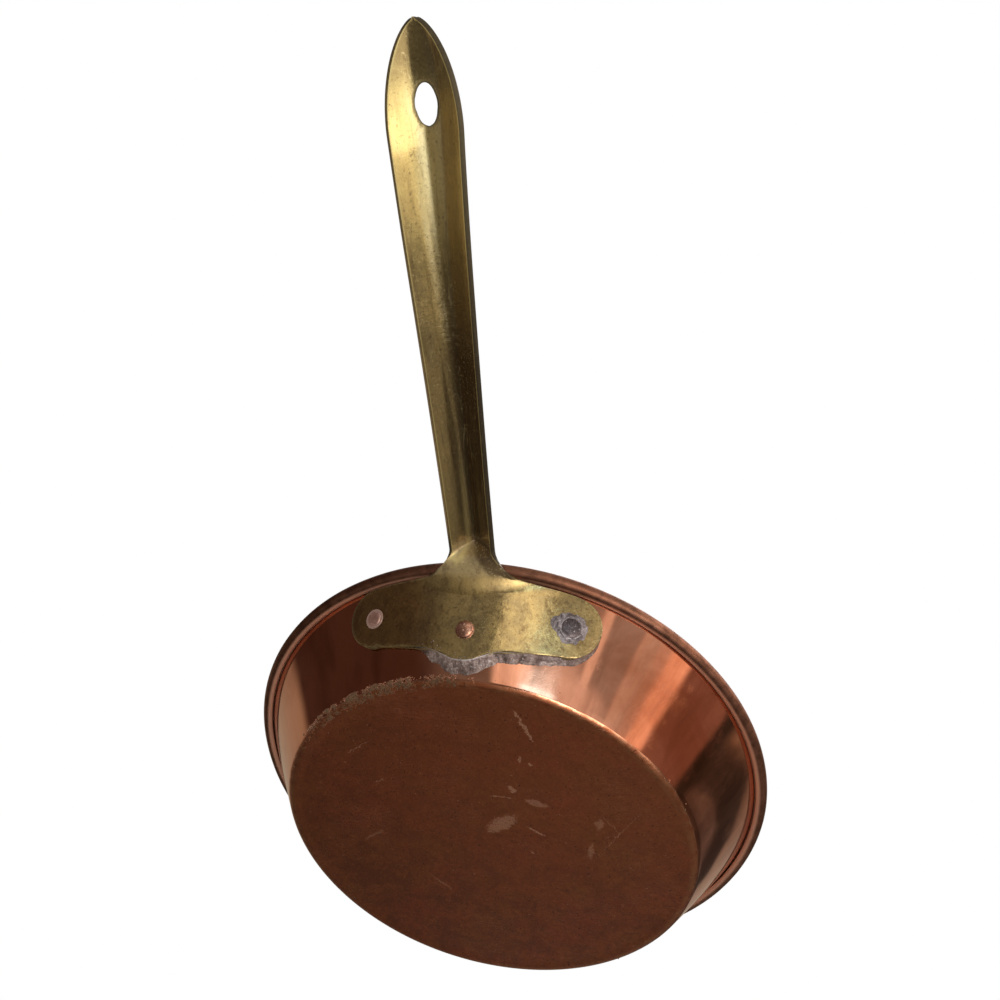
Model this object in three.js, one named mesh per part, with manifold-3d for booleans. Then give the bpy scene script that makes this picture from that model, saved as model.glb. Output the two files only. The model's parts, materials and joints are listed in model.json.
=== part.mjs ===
// Skillet: a tin-lined copper pan with a flared wall and a rim rolled round a wire, and a
// stamped brass handle whose flange is riveted and soldered to the wall.
// Millimetres, +Z up. The origin is the centre of the base's underside and the handle points
// along -Y, so that all but the solder is mirror-alike about the plane X = 0.
import * as THREE from 'three';
import { mergeVertices } from 'three/addons/utils/BufferGeometryUtils.js';
import Module from 'manifold-3d';

// Pan: one copper sheet
const RIM_RADIUS = 100; // over the rolled rim
const RIM_HEIGHT = 32; // centre of the roll above the base's underside
const BASE_RADIUS = 75; // where the wall's outer line meets the base plane
const COPPER = 1.0; // sheet thickness
const BASE_CORNER = 3.0; // outer radius between base and wall
const ROLL_RADIUS = 2.25; // outer radius of the rolled rim
const ROLL_OPENING = 68; // degrees between the roll's lip and the wall, at the roll's centre

// Fits and lining
const FIT_GAP = 0.3; // between pieces that touch on the real pan
const TIN = 0.4; // lining thickness
const TIN_BELOW_ROLL = 1.0; // the lining ends this far down the wall from the roll

// Handle: one brass stamping
const BRASS = 1.7; // sheet thickness
const HANDLE_REACH = 161.5; // from the rim to the tip
const NECK_GAP = 1.2; // air between the neck and the rolled rim
const NECK_HALF_WIDTH = 7.35; // to the middle of the lips, as all half widths
const NECK_FLARE = 1.8; // half width gained where the neck meets the flange
const GRIP_HALF_WIDTH = 10.6;
const GRIP_FROM_TIP = 27.0; // widest station
const GRIP_SWELL = 1.4; // power of the swell from neck to grip
const TIP_FULLNESS = 0.63; // power of the leaf-shaped end
const TIP_HALF_WIDTH = 0.6; // left of the leaf at its very end
const LIP_ABOVE_ROLL = 0.25; // lips of the channel above the roll's centre, at the neck
const HANDLE_RISE = 3.6; // degrees
const TIP_LIFT = 3.5; // extra rise of the curved end
const TIP_LIFT_LENGTH = 66;
const DEPTH_AT_NECK = 6.6; // channel depth from lips to web
const DEPTH_AT_GRIP = 6.2;
const ROUND_AT_NECK = 0.3; // share of the half width that the rounded bottom takes
const ROUND_AT_GRIP = 0.7;
const ROUND_AT_TIP = 0.95;
const BOWL_LENGTH = 5.0; // where the channel runs out into the flange
const BOWL_FULLNESS = 0.6; // power of the bowl
const LEAST_DEPTH = 0.1; // left of the channel at its very end

// Hanging hole: an oval through the web
const HOLE_LENGTH = 11.0;
const HOLE_WIDTH = 7.0;
const HOLE_FROM_TIP = 21.0;

// Flange: sideways from the middle, and shares of the straight wall's slant, down from its top edge
const FLANGE_BELOW_ROLL = 0.5;
const END_REACH = 34.0; // centre of each rounded end, sideways
const END_DROP_SHARE = 0.312; // and below the top edge
const END_RADIUS_SHARE = 0.303;
const LOWER_EDGE_SHARE = 0.746; // sagging lower edge, at the middle
const BULGE_SHARE = 0.091; // round bulge below it at the middle
const BULGE_HALF_WIDTH = 14;
const NECK_FILLET_REACH = 12.5; // where the top edge turns into the neck
const NECK_SAG_SHARE = 0.186; // how far below that the sheet leaves the wall at the middle

// Rivets
const RIVET_SHANK = 2.0; // radius
const RIVET_HEAD = 2.9; // radius
const RIVET_HEAD_HEIGHT = 1.3;
const RIVET_HEAD_EDGE = 0.4;
const RIVET_BUTT = 3.3; // radius of the flattened head inside the pan
const RIVET_BUTT_HEIGHT = 1.1;
const RIVET_BUTT_BEVEL = 0.7;
const SIDE_RIVET_REACH = 34.3;
const SIDE_RIVET_SHARE = 0.326; // below the flange's top edge, of the straight wall's slant
const CENTRE_RIVET_SHARE = 0.549;

// Solder
const SEAM_START = -16; // along the flange's lower edge, from the middle
const SEAM_END = 33.8;
const SEAM_WIDTH_SHARE = 0.085; // of the straight wall's slant
const SEAM_BULGE_SHARE = 0.045; // extra below the bulge
const SEAM_THICKNESS = 1.3;
const SEAM_EDGE = 0.4; // thickness at its feathered edge
const SEAM_TAPER = 7; // length over which each end runs out
const SEAM_END_SHARE = 0.3; // of its width and thickness, left at each end
const COLLAR_WIDTH = 2.6;
const COLLAR_THICKNESS = 0.6;
const COLLAR_EDGE = 0.25; // thickness at its feathered edge
const FILLET_CREST = 0.4; // share of a fillet's width, from the edge that it fills

// Facets
const PAN_SIDES = 72;
const CORNER_STEPS = 3;
const ROLL_STEPS = 9;
const WIRE_SIDES = 8;
const RIVET_SIDES = 16;
const DOME_STEPS = 3;
const HOLE_SIDES = 28;
const HANDLE_COLUMNS = 20;
const END_ROWS = 6;
const TOP_EDGE_ROWS = 3;
const NECK_ANGLES = [-80, -45, -15]; // degrees round the roll's centre
const BOWL_ROWS = 6;
const SHAFT_ROWS = 9;
const TIP_ROWS = 9;
const SEAM_STATIONS = 24;
const WELD_DISTANCE = 1e-4;

const wasm = await Module();
wasm.setup();

const { degToRad, clamp } = THREE.MathUtils;

// Wall line: from the base plane up to where it is tangent to the inside of the roll
const rollCentre = new THREE.Vector2(RIM_RADIUS - ROLL_RADIUS, RIM_HEIGHT);
const rollBore = ROLL_RADIUS - COPPER;
const toRoll = new THREE.Vector2(rollCentre.x - BASE_RADIUS, rollCentre.y);
const flare = Math.atan2(toRoll.x, toRoll.y) - Math.asin(rollBore / toRoll.length());
const wallUp = new THREE.Vector2(Math.sin(flare), Math.cos(flare));
const wallOut = new THREE.Vector2(Math.cos(flare), -Math.sin(flare));
const rollSlant = toRoll.dot(wallUp);
const cornerBend = Math.tan((Math.PI / 2 - flare) / 2);
const cornerSlant = BASE_CORNER * cornerBend;

// Flange and handle stations
const flangeTop = rollSlant - ROLL_RADIUS - FLANGE_BELOW_ROLL;
const wallSpan = flangeTop - cornerSlant;
const endRadius = END_RADIUS_SHARE * wallSpan;
const endSlant = flangeTop - END_DROP_SHARE * wallSpan;
const sideRivetSlant = flangeTop - SIDE_RIVET_SHARE * wallSpan;
const centreRivetSlant = flangeTop - CENTRE_RIVET_SHARE * wallSpan;
const wrapRadius = BASE_RADIUS + sideRivetSlant * wallUp.x;
const brassMiddle = FIT_GAP + BRASS / 2; // the sheet's middle, off the wall
const brassFace = FIT_GAP + BRASS;
const neckRadius = ROLL_RADIUS + NECK_GAP + BRASS / 2;
const foldAngle = degToRad(NECK_ANGLES[NECK_ANGLES.length - 1]);
const foldStation = rollCentre.x + neckRadius * Math.cos(foldAngle);
const foldHeight = rollCentre.y + neckRadius * Math.sin(foldAngle);
const tipStation = RIM_RADIUS + HANDLE_REACH;
const bowlStation = foldStation + BOWL_LENGTH;
const gripStation = tipStation - GRIP_FROM_TIP;
const holeStation = tipStation - HOLE_FROM_TIP;

function mix(from, to, share) {
  return from + (to - from) * share;
}

function ease(share) {
  const s = clamp(share, 0, 1);
  return s * s * (3 - 2 * s);
}

function arcPoints(centre, radius, fromAngle, toAngle, steps) {
  return Array.from({ length: steps + 1 }, (_, i) => {
    const angle = mix(fromAngle, toAngle, i / steps);
    return new THREE.Vector2(centre.x + radius * Math.cos(angle), centre.y + radius * Math.sin(angle));
  });
}

// Point of the pan's section, at a slant height up the wall and a distance off its outer face
function wallPoint(slant, offset) {
  return new THREE.Vector2(
    BASE_RADIUS + slant * wallUp.x + offset * wallOut.x,
    slant * wallUp.y + offset * wallOut.y,
  );
}

function aroundPan(radius, height, angle) {
  return new THREE.Vector3(radius * Math.sin(angle), -radius * Math.cos(angle), height);
}

// The wall's point turned round the pan, an arc length sideways from the handle's plane
function onWall(across, slant, offset) {
  const section = wallPoint(slant, offset);
  return aroundPan(section.x, section.y, across / wrapRadius);
}

// Closed geometry with shared vertices and no collapsed triangles
function weld(geometry) {
  for (const name of Object.keys(geometry.attributes)) {
    if (name !== 'position') geometry.deleteAttribute(name);
  }
  const merged = mergeVertices(geometry, WELD_DISTANCE);
  const corners = merged.index.array;
  const kept = [];
  for (let i = 0; i < corners.length; i += 3) {
    const [a, b, c] = corners.slice(i, i + 3);
    if (a !== b && b !== c && c !== a) kept.push(a, b, c);
  }
  merged.setIndex(kept);
  return merged;
}

function toSolid(geometry) {
  const welded = weld(geometry);
  return new wasm.Manifold(new wasm.Mesh({
    numProp: 3,
    vertProperties: Float32Array.from(welded.attributes.position.array),
    triVerts: Uint32Array.from(welded.index.array),
  }));
}

function toGeometry(solid) {
  const mesh = solid.getMesh();
  const geometry = new THREE.BufferGeometry();
  geometry.setAttribute('position', new THREE.BufferAttribute(mesh.vertProperties, 3));
  geometry.setIndex(new THREE.BufferAttribute(mesh.triVerts, 1));
  return geometry;
}

function cut(geometry, tools) {
  return toGeometry(tools.reduce((solid, tool) => solid.subtract(toSolid(tool)), toSolid(geometry)));
}

// Solid of revolution about Z from an anticlockwise section of (radius, height) points
function turned(section, sides) {
  return weld(new THREE.LatheGeometry(section, sides).rotateX(Math.PI / 2));
}

// Closed geometry from vertices and from quads whose corners run anticlockwise seen from outside
function fromQuads(vertices, quads) {
  const geometry = new THREE.BufferGeometry();
  geometry.setFromPoints(vertices);
  geometry.setIndex(quads.flatMap(([a, b, c, d]) => [a, b, c, a, c, d]));
  return weld(geometry);
}

// Corner between base and wall on a face that lies a depth inside the pan's outer face
function cornerPoints(depth) {
  const radius = BASE_CORNER - depth;
  if (radius <= 0) {
    return [new THREE.Vector2(BASE_RADIUS - depth * cornerBend, depth)];
  }
  const centre = new THREE.Vector2(BASE_RADIUS - cornerSlant, BASE_CORNER);
  return arcPoints(centre, radius, -Math.PI / 2, -flare, CORNER_STEPS);
}

// Pan body: base, corner and wall, then the roll's inner face, its lip and its outer face
function panBody() {
  const wallSide = Math.atan2(-wallOut.y, -wallOut.x);
  const lip = wallSide - 2 * Math.PI + degToRad(ROLL_OPENING);
  const section = [
    new THREE.Vector2(0, 0),
    ...cornerPoints(0),
    ...arcPoints(rollCentre, rollBore, wallSide, lip, ROLL_STEPS),
    ...arcPoints(rollCentre, ROLL_RADIUS, lip, wallSide, ROLL_STEPS),
    ...cornerPoints(COPPER).reverse(),
    new THREE.Vector2(0, COPPER),
  ];
  return cut(turned(section, PAN_SIDES), rivetHoles());
}

function tinLining() {
  const outer = COPPER + FIT_GAP;
  const inner = outer + TIN;
  const top = rollSlant - TIN_BELOW_ROLL;
  const section = [
    new THREE.Vector2(0, outer),
    ...cornerPoints(outer),
    wallPoint(top, -outer),
    wallPoint(top, -inner),
    ...cornerPoints(inner).reverse(),
    new THREE.Vector2(0, inner),
  ];
  return cut(turned(section, PAN_SIDES), rivetHoles());
}

function rimWire() {
  const section = arcPoints(rollCentre, rollBore - FIT_GAP, 0, 2 * Math.PI, WIRE_SIDES);
  return turned(section, PAN_SIDES);
}

// Slant height of the flange's lower edge: a sag from end to end, with a round bulge at the middle
function lowerEdge(across) {
  const flank = Math.min(Math.abs(across) / END_REACH, 1);
  const sag = mix(flangeTop - LOWER_EDGE_SHARE * wallSpan, endSlant - endRadius, flank ** 2);
  return sag - BULGE_SHARE * wallSpan * bulge(across);
}

function bulge(across) {
  return Math.max(0, 1 - (across / BULGE_HALF_WIDTH) ** 2) ** 2;
}

// Ends of the flange's rows: round the end from bottom to top, then in along the top edge
function flangeRowEnds() {
  const round = arcPoints(
    new THREE.Vector2(END_REACH, endSlant), endRadius, -Math.PI / 2, Math.PI / 2, END_ROWS);
  const turn = new THREE.Vector2(NECK_FILLET_REACH, flangeTop);
  const along = Array.from({ length: TOP_EDGE_ROWS }, (_, i) =>
    round[END_ROWS].clone().lerp(turn, (i + 1) / TOP_EDGE_ROWS));
  return [...round, ...along];
}

// A row of the flange sags between its ends: as the lower edge does, then ever rounder
function flangeRows(columns) {
  const ends = flangeRowEnds();
  return ends.map((end, i) => columns.map((c) => {
    const edgeSag = lowerEdge(END_REACH * c) - lowerEdge(END_REACH);
    const roundSag = -NECK_SAG_SHARE * wallSpan * (1 - c ** 2);
    const slant = end.y + mix(edgeSag, roundSag, i / (ends.length - 1));
    return onWall(end.x * c, slant, brassMiddle);
  }));
}

// The neck passes under and outside the rolled rim
function neckRows(columns) {
  const foldHalf = channelHalfWidth(foldStation);
  return NECK_ANGLES.map((degrees, i) => {
    const angle = degToRad(degrees);
    const radius = rollCentre.x + neckRadius * Math.cos(angle);
    const height = rollCentre.y + neckRadius * Math.sin(angle);
    const half = mix(NECK_FILLET_REACH, foldHalf, (i + 1) / NECK_ANGLES.length);
    return columns.map((c) => aroundPan(radius, height, half * c / radius));
  });
}

// Share of a length that a station has covered, from 0 before it to 1 past it
function covered(station, from, length) {
  return clamp((station - from) / length, 0, 1);
}

// Half width of the channel, at the middle of its lips
function channelHalfWidth(station) {
  const swell = covered(station, foldStation, gripStation - foldStation) ** GRIP_SWELL;
  const flareOut = NECK_FLARE * (1 - covered(station, foldStation, BOWL_LENGTH)) ** 2;
  const leaf = (1 - covered(station, gripStation, GRIP_FROM_TIP) ** 2) ** TIP_FULLNESS;
  return Math.max(mix(NECK_HALF_WIDTH, GRIP_HALF_WIDTH, swell) * leaf + flareOut, TIP_HALF_WIDTH);
}

// The web comes down to the lips in a bowl at either end
function channelDepth(station) {
  const bowl = Math.sin((Math.PI / 2) * covered(station, foldStation, BOWL_LENGTH) ** BOWL_FULLNESS) ** 2;
  const point = 1 - covered(station, gripStation, GRIP_FROM_TIP) ** 2;
  const along = covered(station, bowlStation, gripStation - bowlStation);
  return mix(DEPTH_AT_NECK, DEPTH_AT_GRIP, along) * bowl * point;
}

function lipHeight(station) {
  const start = rollCentre.y + LIP_ABOVE_ROLL;
  const dip = (start - foldHeight) * (1 - ease((station - foldStation) / BOWL_LENGTH));
  const curl = covered(station, tipStation - TIP_LIFT_LENGTH, TIP_LIFT_LENGTH);
  const rise = (station - foldStation) * Math.tan(degToRad(HANDLE_RISE));
  return start - dip + rise + TIP_LIFT * curl ** 2;
}

// Height of the channel's web above the base plane, at its middle
function webHeight(station) {
  return lipHeight(station) + channelDepth(station);
}

function channelRound(station) {
  const along = covered(station, bowlStation, gripStation - bowlStation);
  const toTip = covered(station, gripStation, GRIP_FROM_TIP);
  return mix(mix(ROUND_AT_NECK, ROUND_AT_GRIP, along), ROUND_AT_TIP, toTip);
}

// Cross-section of the channel: a rounded bottom that runs out into straight flanks down to the lips
function channelRow(station, columns) {
  const half = channelHalfWidth(station);
  const depth = Math.max(channelDepth(station), LEAST_DEPTH);
  const round = channelRound(station) * half;
  const slope = depth / (half - round / 2);
  return columns.map((c) => {
    const x = half * Math.abs(c);
    const fall = x < round ? slope * x ** 2 / (2 * round) : slope * (x - round / 2);
    return new THREE.Vector3(half * c, -station, lipHeight(station) + depth - fall);
  });
}

function channelStations() {
  const steps = (count) => Array.from({ length: count }, (_, i) => (i + 1) / count);
  return [
    ...steps(BOWL_ROWS).map((s) => mix(foldStation, bowlStation, s)),
    ...steps(SHAFT_ROWS).map((s) => mix(bowlStation, gripStation, s)),
    ...steps(TIP_ROWS).map((s) => mix(gripStation, tipStation, Math.sin(s * Math.PI / 2))),
  ];
}

// Normals of a grid of points, each the sum of those of the quads that meet there
function gridNormals(rows) {
  const normals = rows.map((row) => row.map(() => new THREE.Vector3()));
  for (let i = 0; i < rows.length - 1; i += 1) {
    for (let j = 0; j < rows[i].length - 1; j += 1) {
      const rising = rows[i + 1][j + 1].clone().sub(rows[i][j]);
      const falling = rows[i + 1][j].clone().sub(rows[i][j + 1]);
      const normal = rising.cross(falling);
      [normals[i][j], normals[i][j + 1], normals[i + 1][j + 1], normals[i + 1][j]]
        .forEach((sum) => sum.add(normal));
    }
  }
  return normals.map((row) => row.map((sum) => sum.normalize()));
}

// Sheet of even thickness about a grid of its middle points
function sheetFromRows(rows, thickness) {
  const last = rows.length - 1;
  const width = rows[0].length;
  const normals = gridNormals(rows);
  const faces = [1, -1].map((side) => rows.flatMap((row, i) => row.map((point, j) =>
    point.clone().addScaledVector(normals[i][j], side * thickness / 2))));
  const back = faces[0].length;
  const at = (i, j) => i * width + j;
  const quads = [];
  for (let i = 0; i < last; i += 1) {
    for (let j = 0; j < width - 1; j += 1) {
      const [a, b, c, d] = [at(i, j), at(i, j + 1), at(i + 1, j + 1), at(i + 1, j)];
      quads.push([a, b, c, d], [back + d, back + c, back + b, back + a]);
    }
    const [a, d] = [at(i, 0), at(i + 1, 0)];
    const [b, c] = [at(i, width - 1), at(i + 1, width - 1)];
    quads.push([back + a, a, d, back + d], [b, back + b, back + c, c]);
  }
  for (let j = 0; j < width - 1; j += 1) {
    const [a, b] = [at(0, j), at(0, j + 1)];
    const [d, c] = [at(last, j), at(last, j + 1)];
    quads.push([back + a, back + b, b, a], [d, c, back + c, back + d]);
  }
  return fromQuads([...faces[0], ...faces[1]], quads);
}

function handle() {
  const columns = Array.from({ length: HANDLE_COLUMNS + 1 }, (_, j) => mix(-1, 1, j / HANDLE_COLUMNS));
  const rows = [
    ...flangeRows(columns),
    ...neckRows(columns),
    ...channelStations().map((station) => channelRow(station, columns)),
  ];
  return cut(sheetFromRows(rows, BRASS), [...rivetHoles(), hangingHole()]);
}

function hangingHole() {
  const oval = new THREE.Shape();
  oval.absellipse(0, 0, HOLE_WIDTH / 2, HOLE_LENGTH / 2, 0, 2 * Math.PI);
  const depth = 2 * DEPTH_AT_GRIP;
  const hole = new THREE.ExtrudeGeometry(oval, { depth, bevelEnabled: false, curveSegments: HOLE_SIDES });
  return hole.translate(0, -holeStation, webHeight(holeStation) - depth / 2);
}

// Rivets stand square to the wall, in a triangle with the middle one lowest
const rivetSeats = {
  rivet_left: [-SIDE_RIVET_REACH, sideRivetSlant],
  rivet_centre: [0, centreRivetSlant],
  rivet_right: [SIDE_RIVET_REACH, sideRivetSlant],
};

// Puts an object's Z axis along the wall's outward normal, with its origin on the outer face
function seatOnWall(object, [across, slant]) {
  const angle = across / wrapRadius;
  const outward = aroundPan(wallOut.x, wallOut.y, angle);
  object.position.copy(onWall(across, slant, 0));
  object.quaternion.setFromUnitVectors(new THREE.Vector3(0, 0, 1), outward);
  object.updateMatrix();
  return object;
}

function rivetHoles() {
  const stack = brassFace + COPPER + FIT_GAP + TIN;
  return Object.values(rivetSeats).map((seat) => {
    const bore = new THREE.CylinderGeometry(
      RIVET_SHANK + FIT_GAP, RIVET_SHANK + FIT_GAP, 3 * stack, RIVET_SIDES).rotateX(Math.PI / 2);
    return bore.applyMatrix4(seatOnWall(new THREE.Object3D(), seat).matrix);
  });
}

// Domed head on the flange, shank through flange, wall and lining, flattened head inside
function rivet() {
  const seat = brassFace + FIT_GAP;
  const butt = -(COPPER + FIT_GAP + TIN + FIT_GAP);
  const foot = butt - RIVET_BUTT_HEIGHT;
  const domeRise = (RIVET_HEAD_HEIGHT - RIVET_HEAD_EDGE) / RIVET_HEAD;
  const dome = arcPoints(new THREE.Vector2(), RIVET_HEAD, 0, Math.PI / 2, DOME_STEPS)
    .map((point) => new THREE.Vector2(point.x, seat + RIVET_HEAD_EDGE + domeRise * point.y));
  return turned([
    new THREE.Vector2(0, foot),
    new THREE.Vector2(RIVET_BUTT - RIVET_BUTT_BEVEL, foot),
    new THREE.Vector2(RIVET_BUTT, foot + RIVET_BUTT_BEVEL),
    new THREE.Vector2(RIVET_BUTT, butt),
    new THREE.Vector2(RIVET_SHANK, butt),
    new THREE.Vector2(RIVET_SHANK, seat),
    new THREE.Vector2(RIVET_HEAD, seat),
    ...dome,
  ], RIVET_SIDES);
}

// Ring of solder round a rivet's head, on the flange
function rivetCollar() {
  const seat = brassFace + FIT_GAP;
  const inner = RIVET_HEAD + FIT_GAP;
  const outer = inner + COLLAR_WIDTH;
  const section = [
    new THREE.Vector2(inner, seat),
    new THREE.Vector2(outer, seat),
    new THREE.Vector2(outer, seat + COLLAR_EDGE),
    new THREE.Vector2(mix(inner, outer, FILLET_CREST), seat + COLLAR_THICKNESS),
    new THREE.Vector2(inner, seat + COLLAR_THICKNESS),
  ];
  return turned([...section, section[0]], RIVET_SIDES);
}

// Fillet of solder between the flange's lower edge and the wall, feathered at its foot
function solderSeam() {
  const vertices = [];
  for (let i = 0; i <= SEAM_STATIONS; i += 1) {
    const across = mix(SEAM_START, SEAM_END, i / SEAM_STATIONS);
    const toEnd = Math.min(across - SEAM_START, SEAM_END - across);
    const taper = mix(SEAM_END_SHARE, 1, ease(toEnd / SEAM_TAPER));
    const top = lowerEdge(across) - FIT_GAP;
    const foot = top - (SEAM_WIDTH_SHARE + SEAM_BULGE_SHARE * bulge(across)) * wallSpan * taper;
    const thick = FIT_GAP + mix(SEAM_EDGE, SEAM_THICKNESS, taper);
    vertices.push(
      onWall(across, top, FIT_GAP),
      onWall(across, foot, FIT_GAP),
      onWall(across, foot, FIT_GAP + SEAM_EDGE),
      onWall(across, mix(top, foot, FILLET_CREST), mix(FIT_GAP + SEAM_EDGE, thick, FILLET_CREST)),
      onWall(across, top, thick),
    );
  }
  const ring = 5;
  const quads = [];
  for (let i = 0; i < SEAM_STATIONS; i += 1) {
    for (let k = 0; k < ring; k += 1) {
      const [a, b] = [i * ring + k, i * ring + (k + 1) % ring];
      quads.push([a, a + ring, b + ring, b]);
    }
  }
  const end = SEAM_STATIONS * ring;
  quads.push([0, 1, 2, 3], [0, 3, 4, 0], [end, end + 3, end + 2, end + 1], [end, end + 4, end + 3, end]);
  return fromQuads(vertices, quads);
}

function piece(name, geometry, color, roughness) {
  geometry.computeVertexNormals();
  const mesh = new THREE.Mesh(geometry, new THREE.MeshStandardMaterial({ color, roughness, metalness: 1 }));
  mesh.name = name;
  return mesh;
}

const pan = new THREE.Group();
pan.add(
  piece('pan_body', panBody(), 0xb4623f, 0.3),
  piece('tin_lining', tinLining(), 0xb9b8b2, 0.4),
  piece('rim_wire', rimWire(), 0x8a8a88, 0.45),
);

const grip = new THREE.Group();
grip.add(
  piece('handle', handle(), 0xb08a3c, 0.32),
  piece('solder_seam', solderSeam(), 0x77706c, 0.6),
);
for (const [name, seat] of Object.entries(rivetSeats)) {
  grip.add(seatOnWall(piece(name, rivet(), 0xa85a3a, 0.35), seat));
}
grip.add(seatOnWall(piece('rivet_solder', rivetCollar(), 0x77706c, 0.6), rivetSeats.rivet_right));

const skillet = new THREE.Group();
skillet.name = 'skillet';
skillet.add(pan, grip);

export default skillet;
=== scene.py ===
"""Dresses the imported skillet: a tin-lined copper pan with a riveted and soldered brass handle.

Sizes are in millimetres, as in the part's source, and turn into metres where a mesh is made.
Angles round the pan start at the handle, which points along -Y, and grow towards +X.
"""

from __future__ import annotations

import json
import logging
from dataclasses import dataclass
from enum import Enum, IntEnum
from functools import cached_property, reduce
from math import asin, atan2, cos, exp, hypot, pi, radians, sin, tan, tau
from typing import Any, Iterable, Sequence

import bmesh
import bpy
from mathutils import Matrix, Vector, kdtree, noise

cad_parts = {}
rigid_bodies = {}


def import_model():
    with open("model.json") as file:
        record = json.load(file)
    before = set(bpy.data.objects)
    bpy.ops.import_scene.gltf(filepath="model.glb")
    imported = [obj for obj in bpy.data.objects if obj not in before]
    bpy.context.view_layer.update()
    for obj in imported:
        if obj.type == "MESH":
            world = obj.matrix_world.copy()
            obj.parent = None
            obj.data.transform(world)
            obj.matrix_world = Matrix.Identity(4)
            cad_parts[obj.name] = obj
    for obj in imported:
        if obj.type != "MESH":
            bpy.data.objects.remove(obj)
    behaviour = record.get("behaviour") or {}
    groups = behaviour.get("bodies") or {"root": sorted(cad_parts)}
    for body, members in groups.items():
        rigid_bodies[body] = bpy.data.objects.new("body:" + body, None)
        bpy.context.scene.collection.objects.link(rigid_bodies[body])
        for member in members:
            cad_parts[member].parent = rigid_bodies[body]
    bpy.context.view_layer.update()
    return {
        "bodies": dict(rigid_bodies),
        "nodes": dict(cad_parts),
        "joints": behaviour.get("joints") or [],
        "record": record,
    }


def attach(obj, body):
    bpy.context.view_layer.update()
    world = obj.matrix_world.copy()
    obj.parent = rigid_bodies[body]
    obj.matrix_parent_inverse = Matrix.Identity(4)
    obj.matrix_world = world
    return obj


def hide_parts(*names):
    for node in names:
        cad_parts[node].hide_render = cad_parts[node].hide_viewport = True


LOG = logging.getLogger("skillet")
MM = 0.001
TINY = 1e-6
LUMP_TILT = 0.6
BODY = "root"

Pair = tuple[float, float]
Triple = tuple[float, float, float]
Color = Triple
Node = bpy.types.Node
Socket = bpy.types.NodeSocket
Tree = bpy.types.NodeTree
Piece = bpy.types.Object


# Numbers and curves


def mix(start: float, end: float, share: float) -> float:
    """Value a share of the way from start to end."""
    return start + (end - start) * share


def clamp(value: float, low: float = 0.0, high: float = 1.0) -> float:
    """Value held between low and high."""
    return max(low, min(high, value))


def ease(share: float) -> float:
    """Smooth step from 0 to 1."""
    held = clamp(share)
    return held * held * (3 - 2 * held)


def covered(station: float, start: float, length: float) -> float:
    """Share of a length that a station has covered."""
    return clamp((station - start) / length)


def spread(start: float, end: float, steps: int) -> list[float]:
    """Even values from start to end, both included."""
    return [mix(start, end, i / steps) for i in range(steps + 1)]


def arc(centre: Pair, radius: float, start: float, end: float, steps: int) -> list[Pair]:
    """Points on a circular arc between two angles in radians."""
    angles = spread(start, end, steps)
    return [(centre[0] + radius * cos(a), centre[1] + radius * sin(a)) for a in angles]


def bell(value: float, middle: float, width: float) -> float:
    """Bell curve, 1 at its middle."""
    return exp(-((value - middle) / width) ** 2)


def rough(point: Vector, size: float, octaves: int = 3) -> float:
    """Fractal noise about 0.

    Args:
        point: place in mm.
        size: width of the largest lumps in mm.
        octaves: how many ever finer layers are added.

    Returns:
        A value of about -1 to 1.
    """
    return noise.fractal(point / size, 1.0, 2.0, octaves)


# Meshes


def mesh_object(name: str, points: Iterable[Vector], faces: Iterable[Sequence[int]]) -> Piece:
    """Object from points in mm.

    Args:
        name: the piece's name.
        points: corners in mm.
        faces: corner numbers, anticlockwise from outside.

    Returns:
        The new object, in the scene.
    """
    mesh = bpy.data.meshes.new(name)
    mesh.from_pydata([tuple(p * MM) for p in points], [], [tuple(f) for f in faces])
    mesh.update()
    made = bpy.data.objects.new(name, mesh)
    bpy.context.scene.collection.objects.link(made)
    return made


def profile_object(name: str, profile: Sequence[Pair]) -> Piece:
    """Row of points, each a radius and a height, that the turning tree sweeps."""
    return mesh_object(name, [Vector((r, 0.0, h)) for r, h in profile], [])


def settle(piece: Piece) -> Piece:
    """Turns a piece's modifiers into a plain smooth mesh.

    Args:
        piece: object with live modifiers.

    Returns:
        The same object.
    """
    bpy.context.view_layer.update()
    evaluated = piece.evaluated_get(bpy.context.evaluated_depsgraph_get())
    mesh = bpy.data.meshes.new_from_object(evaluated)
    piece.modifiers.clear()
    piece.data = mesh
    mesh.name = piece.name
    mesh.polygons.foreach_set("use_smooth", [True] * len(mesh.polygons))
    return piece


def grid_faces(rows: int, columns: int) -> list[tuple[int, int, int, int]]:
    """Quads of a grid whose corners are numbered row by row."""
    corners = [i * columns + j for i in range(rows - 1) for j in range(columns - 1)]
    return [(c, c + 1, c + columns + 1, c + columns) for c in corners]


def paint(mesh: bpy.types.Mesh, name: str, values: Sequence[float]) -> None:
    """Stores one number for each corner of a mesh."""
    mesh.attributes.new(name, "FLOAT", "POINT").data.foreach_set("value", list(values))


def seat(piece: Piece, slot: str, *nodes: str) -> None:
    """Puts a finished piece on the part.

    Args:
        piece: finished object.
        slot: material slot of the record; not used.
        nodes: solids that the piece stands for.
    """
    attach(piece, BODY)
    if nodes:
        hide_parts(*nodes)
    LOG.info("%s: %d faces", piece.name, len(piece.data.polygons))


# Node trees


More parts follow.
